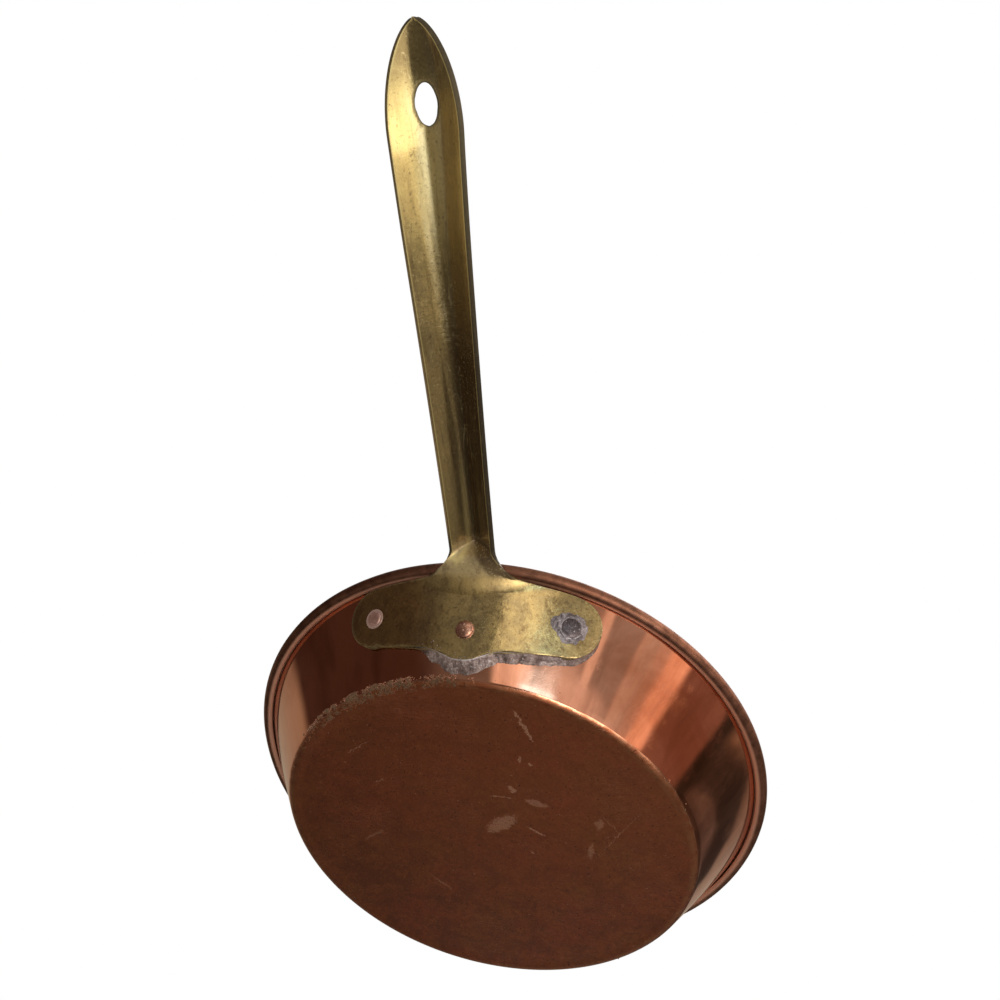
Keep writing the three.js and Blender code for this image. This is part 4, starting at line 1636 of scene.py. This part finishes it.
    def channel_row(self, station: float, columns: Sequence[float]) -> list[Vector]:
        """Rounded bottom that runs out into straight flanks down to the lips.

        Args:
            station: distance from the pan's middle.
            columns: shares of the half width.

        Returns:
            The row.
        """
        half, depth = self.half_width(station), self.depth(station)
        bottom = self.round_share(station) * half
        slope = depth / (half - bottom / 2)
        row = []
        for c in columns:
            x = half * abs(c)
            fall = slope * x**2 / (2 * bottom) if x < bottom else slope * (x - bottom / 2)
            row.append(Vector((half * c, -station, self.lip_height(station) + depth - fall)))
        return row

    def stations(self) -> list[float]:
        """Stations of the channel's rows, closer together at the tip.

        Returns:
            Distances from the pan's middle.
        """
        start = self.fold[0] + self.bowl_length
        to_tip = spread(0.0, 1.0, self.tip_steps)[1:]
        return [
            *spread(self.fold[0], start, self.bowl_steps)[1:],
            *spread(start, self.grip_station, self.grip_steps)[1:],
            *(mix(self.grip_station, self.tip_station, sin(s * pi / 2)) for s in to_tip),
        ]

    def middle_rows(self, columns: Sequence[float]) -> list[list[Vector]]:
        """All rows of the sheet's middle surface, made denser and smoothed round the neck.

        Args:
            columns: shares of the half width.

        Returns:
            The rows.
        """
        flange, neck = self.flange_rows(columns), self.neck_rows(columns)
        keys = [*flange, *neck, *(self.channel_row(s, columns) for s in self.stations())]
        middle, bend = len(columns) // 2, len(flange) + len(neck)
        ends = (len(flange) - self.smooth_before, bend - 1, bend + self.smooth_after)
        rows, marks = [keys[0]], []
        for i in range(len(keys) - 1):
            steps = max(1, round((keys[i + 1][middle] - keys[i][middle]).length / self.row_step))
            before, after = keys[max(i - 1, 0)], keys[min(i + 2, len(keys) - 1)]
            for k in range(1, steps + 1):
                spots = zip(before, keys[i], keys[i + 1], after)
                rows.append([self.curve(*spot, k / steps) for spot in spots])
            if i + 1 in ends:
                marks.append(len(rows))
        first = marks[0]
        for last, times in ((marks[2], self.bowl_smoothing), (marks[1], self.neck_smoothing)):
            for _ in range(times):
                around = [zip(rows[i - 1], rows[i + 1]) for i in range(first, last)]
                smooth = [[(a + b) / 2 for a, b in pairs] for pairs in around]
                for i, row in zip(range(first, last), smooth):
                    share = ease((i - first + 1) / self.smoothing_feather) / 2
                    rows[i] = [old.lerp(new, share) for old, new in zip(rows[i], row)]
        for i in range(first, marks[2]):
            rows[i] = [self.clear_roll(p) for p in rows[i]]
        return rows

    def clear_roll(self, place: Vector) -> Vector:
        """Moves a point of the middle surface off the rolled rim, if it is too close.

        Args:
            place: the point.

        Returns:
            The point, or where it is moved to.
        """
        out, up = self.section.roll_centre
        radius = hypot(place.x, place.y)
        away = hypot(radius - out, place.z - up)
        least = self.section.roll_radius + self.brass / 2 + self.roll_clearance
        if away >= least or radius < out:
            return place
        moved = out + (radius - out) * least / away
        height = up + (place.z - up) * least / away
        return Vector((place.x * moved / radius, place.y * moved / radius, height))

    @staticmethod
    def curve(before: Vector, start: Vector, end: Vector, after: Vector, share: float) -> Vector:
        """Point of the smooth curve through four points, between the middle two.

        Args:
            before, start, end, after: the four points.
            share: way from start to end.

        Returns:
            The point.
        """
        length = (end - start).length
        into = (end - before) * (length / max((start - before).length + length, TINY))
        out = (after - start) * (length / max((after - end).length + length, TINY))
        s2, s3 = share * share, share**3
        leaving = start * (2 * s3 - 3 * s2 + 1) + into * (s3 - 2 * s2 + share)
        return leaving + end * (3 * s2 - 2 * s3) + out * (s3 - s2)

    def punch(self, sheet: Piece) -> list[Vector]:
        """Opens the oval hanging hole and fits the mesh round it.

        Args:
            sheet: the middle surface.

        Returns:
            The corners on the hole's edge, in metres.
        """
        half_x, half_y = self.hole_width / 2 * MM, self.hole_length / 2 * MM
        centre_y = -self.hole_station * MM
        edit = bmesh.new()
        edit.from_mesh(sheet.data)
        lowest = self.lip_height(self.hole_station) * MM + half_x / 2

        def reach(place: Vector) -> float:
            """Distance from the hole's middle, 1 on its edge."""
            return hypot(place.x / half_x, (place.y - centre_y) / half_y)

        def push(vertex: bmesh.types.BMVert, share: float) -> None:
            """Moves a corner straight away from the hole's middle."""
            vertex.co.x *= share
            vertex.co.y = centre_y + (vertex.co.y - centre_y) * share

        middles = ((face, face.calc_center_median()) for face in edit.faces)
        inside = [face for face, place in middles if place.z > lowest and reach(place) < 1.0]
        bmesh.ops.delete(edit, geom=inside, context="FACES")
        rim = [v for v in edit.verts if v.is_boundary and v.co.z > lowest and reach(v.co) < self.hole_snap]
        for vertex in rim:
            push(vertex, 1.0 / reach(vertex.co))
        for vertex in {edge.other_vert(corner) for corner in rim for edge in corner.link_edges} - set(rim):
            push(vertex, max(1.0, self.hole_spread / reach(vertex.co)))
        edge = [v.co.copy() for v in rim]
        edit.to_mesh(sheet.data)
        edit.free()
        return edge

    def build(self) -> None:
        """Makes and seats the handle."""
        columns = [i / self.half_columns for i in range(-self.half_columns, self.half_columns + 1)]
        near, nearer = self.lip_columns
        columns = [-1.0, -nearer, -near, *columns[1:-1], near, nearer, 1.0]
        rows = self.middle_rows(columns)
        width = len(columns)
        sheet = mesh_object("brass_handle", [p for row in rows for p in row], grid_faces(len(rows), width))
        border = [rows[0][j] * MM for j in range(width)] + [row[j] * MM for row in rows for j in (0, -1)]
        hole = self.punch(sheet)
        self.mark_edges(sheet, border, hole)
        thick = sheet.modifiers.new("thickness", "SOLIDIFY")
        thick.thickness, thick.offset, thick.use_quality_normals = self.brass * MM, 0.0, True
        thick.edge_crease_inner = thick.edge_crease_outer = self.edge_crease
        rounding = sheet.modifiers.new("rounding", "SUBSURF")
        rounding.levels = rounding.render_levels = 1
        settle(sheet)
        sheet.data.materials.append(HandleBrass().make())
        seat(sheet, "brass", "handle")

    @staticmethod
    def distances(sheet: Piece, places: Sequence[Vector]) -> list[float]:
        """Distance in mm of each of the sheet's corners from the nearest of some places.

        Args:
            sheet: the middle surface.
            places: points in metres.

        Returns:
            The distances.
        """
        tree = kdtree.KDTree(len(places))
        for i, place in enumerate(places):
            tree.insert(place, i)
        tree.balance()
        return [tree.find(vertex.co)[2] / MM for vertex in sheet.data.vertices]

    def mark_edges(self, sheet: Piece, border: Sequence[Vector], hole: Sequence[Vector]) -> None:
        """Stores how near each corner is to a dark edge, dirty and with painted edge shade, and to the
        painted highlight line along the lips.

        Args:
            sheet: the middle surface.
            border: corners on its outer edge, in metres.
            hole: corners on the hole's edge, in metres.
        """
        rim = -(self.section.rim_radius + self.lip_start) * MM
        flange = self.distances(sheet, [place for place in border if place.y > rim])
        lips = self.distances(sheet, [place for place in border if place.y <= rim])
        ring = self.distances(sheet, hole)
        # dirty edges, which also carry painted edge shade
        paint(sheet.data, "edge", [self.flange_dirt * (1 - ease(away / self.dirt_reach)) for away in flange])
        paint(sheet.data, "cut", [
            1 - min(ease(lip / self.lip_dirt_reach), ease((away - self.hole_ring) / self.hole_dirt_reach))
            for lip, away in zip(lips, ring)])
        # painted highlight: a thin pale line just inside the lips
        paint(sheet.data, "lip", [
            ease(away / self.lip_dirt_reach) * (1 - ease((away - self.lip_highlight_width) / self.lip_highlight_width))
            for away in lips])


# Rivets and solder


class RivetHead(Enum):
    """Shapes of a rivet's head: radius, height, upright edge, skirt width and skirt height, in mm."""

    FLATTENED = (2.55, 0.85, 0.25, 0.95, 0.14)
    DOMED = (2.95, 1.35, 0.35, 0.25, 0.08)
    SOLDERED = (3.3, 0.75, 0.30, 0.75, 0.42)


@dataclass
class Rivets:
    """Three rivets through flange, wall and lining."""

    section: PanSection
    handle: Handle
    reach: float = 34.3
    shank: float = 2.0
    butt: float = 3.3
    butt_height: float = 1.1
    butt_round: float = 0.7
    butt_sink: float = 0.02
    head_sink: float = 0.05
    edge_share: float = 0.6
    skirt_share: float = 0.9
    least_ring: float = 0.5
    ring_shine: float = 0.7
    ring_spread: float = 1.5
    bend_steps: int = 5
    dome_steps: int = 9
    sides: int = 48

    @cached_property
    def seats(self) -> dict[str, Pair]:
        """Place of each rivet, sideways and up the wall."""
        s = self.section
        side, centre = s.side_rivet_slant, s.flange_top - s.centre_rivet_share * s.wall_span
        return {"left": (-self.reach, side), "centre": (0.0, centre), "right": (self.reach, side)}

    def profile(self, head: RivetHead) -> list[Pair]:
        """Section of a rivet from its flattened end inside the pan to the top of its head.

        Args:
            head: shape of the head.

        Returns:
            Points of the section.
        """
        radius, height, edge, skirt, skirt_height = head.value
        s, face = self.section, self.handle.face
        under = -(s.copper + s.fit_gap + s.tin) + self.butt_sink
        foot = under - self.butt_height
        bend_centre = (self.butt - self.butt_round, foot + self.butt_round)
        bend = arc(bend_centre, self.butt_round, -pi / 2, 0.0, self.bend_steps)
        quarter = spread(0.0, pi / 2, self.dome_steps)
        dome = [(radius * cos(a), face + edge + (height - edge) * sin(a)) for a in quarter]
        collar = arc((radius + skirt - skirt_height, face), skirt_height, 0.0, pi / 2, self.bend_steps)
        return [
            (0.0, foot), (self.butt / 2, foot), *bend, (self.butt, under),
            (self.shank, under), (self.shank, face - self.head_sink),
            (radius + skirt, face - self.head_sink), *collar,
            (radius + self.head_sink, face + skirt_height * self.skirt_share),
            (radius, face + max(edge * self.edge_share, skirt_height)), *dome,
        ]

    def build(self) -> None:
        """Makes and seats the rivets."""
        for side, head, stock in (
            ("left", RivetHead.FLATTENED, Stock.RIVET_WORN),
            ("centre", RivetHead.DOMED, Stock.RIVET_COPPER),
            ("right", RivetHead.SOLDERED, Stock.RIVET_TINNED),
        ):
            across, slant = self.seats[side]
            made = profile_object(f"rivet_{side}_peened", self.profile(head))
            run_tree(made, TREES.rivet, {
                "Sides": self.sides, "Seat": self.section.on_wall(across, slant, 0.0) * MM,
                "Outward": self.section.outward(across), "Finish": stock.value.make()})
            self.rub_ring(made, head, across, slant)
            seat(made, "rivet_copper", f"rivet_{side}")

    def rub_ring(self, piece: Piece, head: RivetHead, across: float, slant: float) -> None:
        """Marks a wide skirt round a rivet's head as rubbed bright.

        Args:
            piece: the rivet.
            head: shape of its head.
            across, slant: its seat.
        """
        radius, _, _, skirt, _ = head.value
        shine = self.ring_shine if skirt > self.least_ring else 0.0
        foot, axis = self.section.on_wall(across, slant, 0.0), self.section.outward(across).normalized()
        shares = []
        for vertex in piece.data.vertices:
            off = vertex.co / MM - foot
            reach = (off - axis * off.dot(axis)).length
            shares.append(shine * ease(self.ring_spread - abs(reach - radius - skirt / 2) / (skirt / 2)))
        paint(piece.data, "rubbed", shares)


@dataclass
class Solder:
    """Gritty seam below the flange with a painted highlight along its top, ragged collar round the right
    rivet, and strewn grit.

    Bare and lobes are humps: a share, a middle and a width; bare places the painted highlight along the
    seam's top. Ragged and lumps are a share and a width in mm.
    """

    section: PanSection
    handle: Handle
    rivets: Rivets
    start: float = -17.5
    width: float = 3.1
    bulge_width: float = 1.6
    start_share: float = 0.12
    taper: float = 6.0
    end_width: float = 2.6
    tail_width: float = 0.35
    tail_turn: float = 1.9
    tail_degrees: float = 65.0
    stations: int = 420
    flat_share: float = 0.74
    slope_step: float = 0.1
    bands: int = 22
    overlap: float = 0.18
    face_sink: float = 0.12
    wall_sink: float = 0.08
    foot_height: float = 0.03
    least_height: float = 0.02
    hollow: float = 0.8
    straight: float = 0.55
    ragged: Pair = (0.22, 3.2)
    lumps: Pair = (0.20, 1.5)
    lump_speed: float = 1.3
    lump_slice: float = 5.0
    octaves: int = 4
    # painted highlight along the seam's top, strongest near its middle
    bare: Triple = (0.85, 2.0, 13.0)
    highlight_bands: float = 2.0
    highlight_start: float = 1.4
    collar_radius: float = 5.4
    collar_height: float = 0.55
    collar_overlap: float = 0.2
    collar_sink: float = 0.05
    collar_least: float = 0.03
    collar_fall: float = 1.1
    collar_lobes: tuple[Triple, ...] = ((1.9, pi, 0.38), (-0.5, pi / 2, 0.7))
    collar_ragged: Pair = (0.9, 2.4)
    collar_lumps: Pair = (0.24, 1.1)
    collar_lump_speed: float = 1.2
    collar_lump_slice: float = 9.0
    collar_spokes: int = 120
    collar_rings: int = 22
    grit: Lumps = Lumps(1.5e6, (0.08, 0.28), 0.6, 11)
    grit_across: Pair = (-19.0, 24.0)
    grit_up: Pair = (0.15, 4.2)
    grit_lift: float = 0.02
    grit_hump: Pair = (-8.0, 8.5)
    grit_least: float = 0.22
    grit_patch: float = 2.6
    grit_patchy: Pair = (0.45, 1.5)
    grit_fall: float = 1.5
    grit_rows: int = 121
    grit_columns: int = 9

    def path(self) -> list[tuple[Pair, Pair, float]]:
        """Places along the flange's edge, each with its way out and the seam's width there.

        Returns:
            The places.
        """
        handle, step = self.handle, self.slope_step
        edge = []
        flat = int(self.stations * self.flat_share)
        for across in spread(self.start, handle.end_reach, flat):
            slope = (handle.lower_edge(across + step) - handle.lower_edge(across - step)) / (2 * step)
            size = hypot(slope, 1.0)
            share = mix(self.start_share, 1.0, ease((across - self.start) / self.taper))
            width = (self.width + self.bulge_width * handle.bulge(across)) * share
            edge.append(((across, handle.lower_edge(across)), (slope / size, -1 / size), width))
        (x, y), radius = handle.end_centre, handle.end_radius
        for angle in spread(-pi / 2, radians(self.tail_degrees), self.stations - flat - 1)[1:]:
            out = (cos(angle), sin(angle))
            width = mix(self.end_width, self.tail_width, ease((angle + pi / 2) / self.tail_turn))
            edge.append(((x + radius * out[0], y + radius * out[1]), out, width))
        return edge

    def seam_row(self, spot: Pair, way: Pair, width: float) -> list[Vector]:
        """One section of the seam: its lumpy slope from the flange down, then its foot and its back.

        Args:
            spot: place on the flange's edge.
            way: way out from it.
            width: the seam's width.

        Returns:
            The section.
        """
        (across, slant), (side, up) = spot, way
        place = Vector((across, slant, 0.0))
        reach = width * (1 + self.ragged[0] * rough(place, self.ragged[1], self.octaves))
        row = []
        for t in spread(0.0, 1.0, self.bands):
            a, b = across + side * (reach * t - self.overlap), slant + up * (reach * t - self.overlap)
            fall = (1 - t) ** self.hollow * (self.straight + (1 - self.straight) * (1 - t))
            lump = self.lumps[0] * rough(Vector((a, b, self.lump_slice)), self.lumps[1], self.octaves)
            height = mix(self.foot_height, self.handle.face - self.face_sink, fall)
            height += lump * sin(pi * min(t * self.lump_speed, 1.0))
            row.append(self.section.on_wall(a, b, max(height, self.least_height)))
        for off in (reach, -self.overlap):
            row.append(self.section.on_wall(across + side * off, slant + up * off, -self.wall_sink))
        return row

    def seam(self) -> Piece:
        """Fillet from the flange's edge down to the wall, lumpy and with a ragged foot.

        Returns:
            The seam.
        """
        points, rubbed, path = [], [], self.path()
        # painted highlight: the seam's top bands, near its middle, take the light speck colour
        worn = [clamp(self.highlight_start - j / self.highlight_bands) for j in range(self.bands + 1)]
        for spot, way, width in path:
            points += self.seam_row(spot, way, width)
            share = self.bare[0] * bell(spot[0], *self.bare[1:])
            rubbed += [*(share * part for part in worn), 0.0, 0.0]
        rows, ring = len(path), self.bands + 3
        faces = [
            (i * ring + k, i * ring + (k + 1) % ring, (i + 1) * ring + (k + 1) % ring, (i + 1) * ring + k)
            for i in range(rows - 1) for k in range(ring)]
        faces += [tuple(range(ring))[::-1], tuple((rows - 1) * ring + k for k in range(ring))]
        made = mesh_object("solder_fillet", points, faces)
        paint(made.data, "rubbed", rubbed)
        return made

    def collar(self) -> Piece:
        """Ragged patch of solder on the flange round the right rivet's head.

        Returns:
            The patch.
        """
        across, slant = self.rivets.seats["right"]
        face, spokes, rings = self.handle.face, self.collar_spokes, self.collar_rings
        inner = RivetHead.SOLDERED.value[0] - self.collar_overlap
        angles = [tau * i / spokes for i in range(spokes)]
        ways = [Vector((cos(angle), sin(angle), 0.0)) for angle in angles]
        points = []
        for k in range(rings + 1):
            t = k / rings
            for angle, way in zip(angles, ways):
                lobes = sum(share * bell(angle, middle, width) for share, middle, width in self.collar_lobes)
                wander = self.collar_ragged[0] * rough(way * self.collar_ragged[1], 1.0, self.octaves)
                r = mix(inner, self.collar_radius + lobes + wander, t)
                grain = Vector((way.x * r, way.y * r, self.collar_lump_slice))
                lump = self.collar_lumps[0] * rough(grain, self.collar_lumps[1], self.octaves)
                height = self.collar_height * (1 - t) ** self.collar_fall
                height += lump * sin(pi * min(t * self.collar_lump_speed, 1.0))
                height = max(height, self.collar_least)
                height = -self.collar_sink if k == rings else height
                points.append(self.section.on_wall(across + way.x * r, slant + way.y * r, face + height))
        points += [
            self.section.on_wall(across + way.x * inner, slant + way.y * inner, face - self.collar_sink)
            for way in ways]
        rows = [*range(rings + 2), 0]
        faces = [
            (a * spokes + i, b * spokes + i, b * spokes + (i + 1) % spokes, a * spokes + (i + 1) % spokes)
            for a, b in zip(rows, rows[1:]) for i in range(spokes)]
        return mesh_object("rivet_collar", points, faces)

    def grit_carrier(self) -> Piece:
        """Strip above the flange's edge where loose grit of solder sticks.

        Returns:
            The strip.
        """
        handle = self.handle
        points, cover = [], []
        for across in spread(*self.grit_across, self.grit_rows - 1):
            for up in spread(*self.grit_up, self.grit_columns - 1):
                slant = handle.lower_edge(across) + up
                place = self.section.on_wall(across, slant, handle.face + self.grit_lift)
                points.append(place)
                thick = bell(across, *self.grit_hump) + self.grit_least
                patch = ease(self.grit_patchy[0] + self.grit_patchy[1] * rough(place, self.grit_patch))
                cover.append(clamp(thick * (1 - up / self.grit_up[1]) ** self.grit_fall * patch))
        carrier = mesh_object("solder_grit", points, grid_faces(self.grit_rows, self.grit_columns))
        paint(carrier.data, "cover", cover)
        return carrier

    def build(self) -> None:
        """Makes and seats the solder."""
        dull = Stock.SOLDER.value.make()
        seam = settle(self.seam())
        seam.data.materials.append(dull)
        seat(seam, "solder", "solder_seam")
        collar = settle(self.collar())
        collar.data.materials.append(Stock.BRIGHT_SOLDER.value.make())
        seat(collar, "solder", "rivet_solder")
        seat(self.grit.strew(self.grit_carrier(), dull), "solder")


# The stage


class Axis(IntEnum):
    """Parts of a direction."""

    X = 0
    Y = 1
    Z = 2


@dataclass(frozen=True)
class Panel:
    """An upright panel of the studio: its azimuth, half width and soft edge in degrees, and its light."""

    azimuth: float
    half_width: float
    soft: float
    level: Color

    def mask(self, net: Net, angle: Socket) -> Socket:
        """Share of the panel's light at an angle, which is 0 to 1 round the studio."""
        away = net.away(angle, self.azimuth / 360 + 0.5)
        return net.span(away, (self.half_width + self.soft) / 360, self.half_width / 360)


@dataclass(frozen=True)
class Patch:
    """A patch of light in the studio, by smooth steps: an axis, where the step is off and where it is on."""

    level: Color
    steps: tuple[tuple[Axis, float, float], ...]

    def mask(self, net: Net, way: Sequence[Socket]) -> Socket:
        """Share of the patch's light in a direction, given by its parts."""
        return net.times(*(net.span(way[axis], off, on) for axis, off, on in self.steps))


@dataclass(frozen=True)
class Lamp:
    """A soft lamp: its place, width and height, power, what it faces, and its spread in degrees."""

    name: str
    place: Triple
    size: Pair
    power: float
    aim: Triple = (0.0, 0.0, 0.0)
    spread: float = 180.0


@dataclass
class Stage:
    """Camera, floor, lamps, and a studio of soft light that only reflections see."""

    eye: Triple = (73.92, -255.28, -199.70)
    right: Triple = (0.97383, 0.10076, 0.20371)
    down: Triple = (0.01197, 0.87235, -0.48873)
    lens: float = 30.6
    sensor: float = 36.0
    clip: Pair = (0.01, 20.0)
    floor_drop: float = 0.6
    floor_half: float = 2500.0
    floor_fade: Pair = (0.40, 1.00)
    floor_color: Color = (0.86, 0.86, 0.85)
    floor_cloud: Color = (0.84, 0.84, 0.84)
    backdrop: Color = (1.0, 1.0, 1.0)
    fill: Color = (0.55, 0.55, 0.55)
    dark: Color = (0.073, 0.042, 0.032)
    grip_light: Color = (1.60, 1.52, 1.36)
    streak_light: Color = (1.7, 1.9, 2.5)
    window_light: Color = (0.385, 0.30, 0.225)
    window_shade: Color = (0.085, 0.064, 0.052)
    window_edge: Color = (0.055, 0.047, 0.040)
    window_line: Color = (0.20, 0.17, 0.15)
    below_left: Color = (0.11, 0.095, 0.078)
    base_left: Color = (0.075, 0.065, 0.055)
    base_right: Color = (0.34, 0.32, 0.29)
    above_left: Color = (0.22, 0.22, 0.22)
    above_right: Color = (0.95, 0.95, 0.95)
    lamps: tuple[Lamp, ...] = (
        Lamp("key lamp", (430.0, -690.0, -620.0), (320.0, 320.0), 1.6),
        Lamp("right lamp", (900.0, -250.0, 420.0), (700.0, 700.0), 4.5),
        Lamp("top lamp", (250.0, 200.0, 1150.0), (800.0, 800.0), 7.0),
        Lamp("tip lamp", (24.0, -240.0, 22.0), (13.0, 26.0), 0.0005, (-6.0, -247.0, 47.0), 100.0),
    )
    panels: tuple[Panel, ...] = (
        Panel(-152.0, 45.0, 7.0, (0.39, 0.31, 0.22)),
        Panel(-6.0, 8.0, 26.0, (0.24, 0.23, 0.22)),
        Panel(42.0, 22.0, 7.0, (0.48, 0.46, 0.45)),
        Panel(8.2, 6.6, 4.2, (1.50, 1.44, 1.36)),
        Panel(41.0, 1.2, 1.6, (1.2, 1.12, 1.05)),
        Panel(91.0, 12.0, 5.0, (0.32, 0.19, 0.15)),
        Panel(66.0, 7.0, 3.0, (0.92, 0.76, 0.68)),
        Panel(61.5, 2.4, 2.6, (0.80, 0.74, 0.70)),
        Panel(74.5, 2.8, 3.2, (1.45, 1.02, 0.80)),
        Panel(113.0, 9.0, 3.0, (0.055, 0.047, 0.040)),
        Panel(157.0, 31.0, 2.5, (0.385, 0.30, 0.225)),
    )
    low_patches: tuple[Patch, ...] = (
        Patch((0.98, 0.92, 0.89), ((Axis.Z, -0.27, -0.315), (Axis.X, 0.30, 0.42), (Axis.X, 0.86, 0.74))),
        Patch((2.3, 3.5, 4.4), (
            (Axis.Z, -0.322, -0.345), (Axis.X, 0.16, 0.26), (Axis.X, 0.52, 0.42), (Axis.Y, -0.70, -0.80))),
    )
    floor_patches: tuple[Patch, ...] = (
        Patch((0.24, 0.22, 0.19), ((Axis.X, -0.40, -0.10),)),
        Patch((4.2, 4.0, 3.7), ((Axis.X, 0.12, 0.30), (Axis.Z, -0.36, -0.46), (Axis.Y, -0.68, -0.50))),
    )

    def camera(self) -> None:
        """Makes the camera at the photograph's viewing angle."""
        side, fall = Vector(self.right).normalized(), Vector(self.down).normalized()
        ahead = side.cross(fall).normalized()
        data = bpy.data.cameras.new("camera")
        data.lens, data.sensor_width = self.lens, self.sensor
        data.clip_start, data.clip_end = self.clip
        made = bpy.data.objects.new("camera", data)
        turn = Matrix((side, -fall, -ahead)).transposed().to_4x4()
        made.matrix_world = Matrix.Translation(Vector(self.eye) * MM) @ turn
        bpy.context.scene.collection.objects.link(made)
        bpy.context.scene.camera = made

    def floor(self) -> None:
        """Makes a pale floor that only the camera sees, from above, and that fades into the backdrop."""
        half, low = self.floor_half, -self.floor_drop
        corners = [Vector((x * half, y * half, low)) for x, y in ((-1, -1), (1, -1), (1, 1), (-1, 1))]
        made = mesh_object("floor", corners, [(0, 1, 2, 3)])
        made.visible_diffuse = made.visible_glossy = made.visible_transmission = made.visible_shadow = False
        material = bpy.data.materials.new("pale floor")
        net = clear_nodes(material)
        under = net.node("ShaderNodeNewGeometry").outputs["Backfacing"]
        place = net.node("ShaderNodeTexCoord").outputs["Object"]
        cloudy = net.span(net.cloud(place, 3.0, 3.0), 0.3, 0.7)
        tone = net.blend(cloudy, self.floor_color, self.floor_cloud)
        pale = net.out("ShaderNodeBsdfDiffuse", {"Color": tone})
        clear = net.out("ShaderNodeBsdfTransparent")
        gone = net.most(under, net.span(net.length(place), *self.floor_fade))
        both = net.out("ShaderNodeMixShader", {0: gone, 1: pale, 2: clear})
        net.node("ShaderNodeOutputMaterial", {"Surface": both})
        made.data.materials.append(material)

    def world(self) -> None:
        """Makes a white backdrop, and a studio round the pan that only reflections see."""
        world = bpy.data.worlds.new("studio")
        bpy.context.scene.world = world
        net = clear_nodes(world)
        direction = net.node("ShaderNodeTexCoord").outputs["Generated"]
        x, y, z = way = net.parts(direction)
        turned = net.mapped(direction, (1.0, 1.0, 1.0), (0.0, 0.0, pi / 2))
        angle = net.node("ShaderNodeTexGradient", {"Vector": turned}, gradient_type="RADIAL").outputs[1]
        behind = net.times(net.span(y, 0.28, 0.40), net.span(x, 0.05, 0.20))
        walls = net.coats(
            self.dark, *((panel.mask(net, angle), panel.level) for panel in self.panels),
            *((patch.mask(net, way), patch.level) for patch in self.low_patches),
            (behind, self.window(net, way)))
        base = net.blend(net.span(x, -0.36, -0.20), self.base_left, self.base_right)
        below = net.coats(
            self.below_left, *((patch.mask(net, way), patch.level) for patch in self.floor_patches),
            (net.span(y, -0.32, -0.20), self.under_handle(net, way)), (net.span(y, 0.48, 0.60), base))
        above = net.blend(net.span(x, -0.8, 0.6), self.above_left, self.above_right)
        lowered = net.less(z, net.span(y, -0.25, 0.05, 0.0, 0.25))
        seen = net.coats(
            walls, (net.span(lowered, -0.38, -0.52), below), (net.span(z, 0.55, 0.80), above))
        rays = net.node("ShaderNodeLightPath").outputs
        mirrored = net.most(rays["Is Glossy Ray"], rays["Is Transmission Ray"])
        color = net.coats(self.fill, (mirrored, seen), (rays["Is Camera Ray"], self.backdrop))
        back = net.out("ShaderNodeBackground", {"Color": color, "Strength": 1.0})
        net.node("ShaderNodeOutputWorld", {"Surface": back})

    def window(self, net: Net, way: Sequence[Socket]) -> Socket:
        """Pale light behind the pan over a slanting edge, with a thin light line under the edge.

        Args:
            net: the world's nodes.
            way: parts of the direction.

        Returns:
            The light's colour.
        """
        x, y, z = way
        over = net.plus(z, net.less(net.times(x, 0.099), net.times(y, 0.476)))
        return net.coats(
            self.window_shade, (net.span(over, -0.12, -0.09), self.window_edge),
            (net.span(net.away(over, -0.078), 0.020, 0.006), self.window_line),
            (net.span(over, -0.012, 0.014), self.window_light))

    def under_handle(self, net: Net, way: Sequence[Socket]) -> Socket:
        """Light from below that the channel mirrors: strong at the grip and fading to the neck.

        Args:
            net: the world's nodes.
            way: parts of the direction.

        Returns:
            The light's colour.
        """
        x, y, z = way
        steep = net.most(z, -0.5)
        tilt = net.plus(y, net.times(net.plus(steep, 0.5), 0.6))
        fades = ((0.02, 0.10, 0.30), (0.10, 0.24, 0.5), (0.28, 0.36, 1.35), (0.40, 0.52, 0.5))
        near = net.times(*(net.span(tilt, low, high, 1.0, share) for low, high, share in fades))
        flank = net.plus(net.span(x, 0.35, 0.75, 0.17, 0.60), net.span(x, 0.80, 0.90, 0.0, 0.30))
        wide = net.times(net.span(x, -0.05, 0.26), net.span(x, 0.75, 0.36))
        slim = net.times(net.span(x, 0.45, 0.70), net.span(x, 0.88, 0.74))
        peak = net.between(net.span(y, -0.09, 0.06), wide, slim)
        streak = net.times(near, peak, net.span(y, 0.03, 0.13, 1.0, 0.0))
        return net.coats(
            (0.0, 0.0, 0.0), (net.times(near, flank), self.grip_light), (streak, self.streak_light))

    def light(self) -> None:
        """Makes the soft lamps, which the camera doesn't see."""
        for lamp in self.lamps:
            data = bpy.data.lights.new(lamp.name, "AREA")
            data.shape, data.energy = "RECTANGLE", lamp.power
            data.size, data.size_y = lamp.size[0] * MM, lamp.size[1] * MM
            data.spread = radians(lamp.spread)
            made = bpy.data.objects.new(lamp.name, data)
            made.location = Vector(lamp.place) * MM
            made.rotation_euler = (Vector(lamp.aim) - Vector(lamp.place)).to_track_quat("-Z", "Y").to_euler()
            made.visible_camera = False
            bpy.context.scene.collection.objects.link(made)

    def build(self) -> None:
        """Makes the whole stage."""
        bpy.context.scene.view_settings.view_transform = "Standard"
        self.camera()
        self.floor()
        self.world()
        self.light()


def main() -> None:
    """Builds the stage and every piece."""
    logging.basicConfig(level=logging.INFO, format="%(message)s")
    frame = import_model()
    Stage().build()
    section = PanSection()
    Pan(section).build(frame)
    handle = Handle(section)
    handle.build()
    rivets = Rivets(section, handle)
    rivets.build()
    Solder(section, handle, rivets).build()


if __name__ == "__main__":
    main()
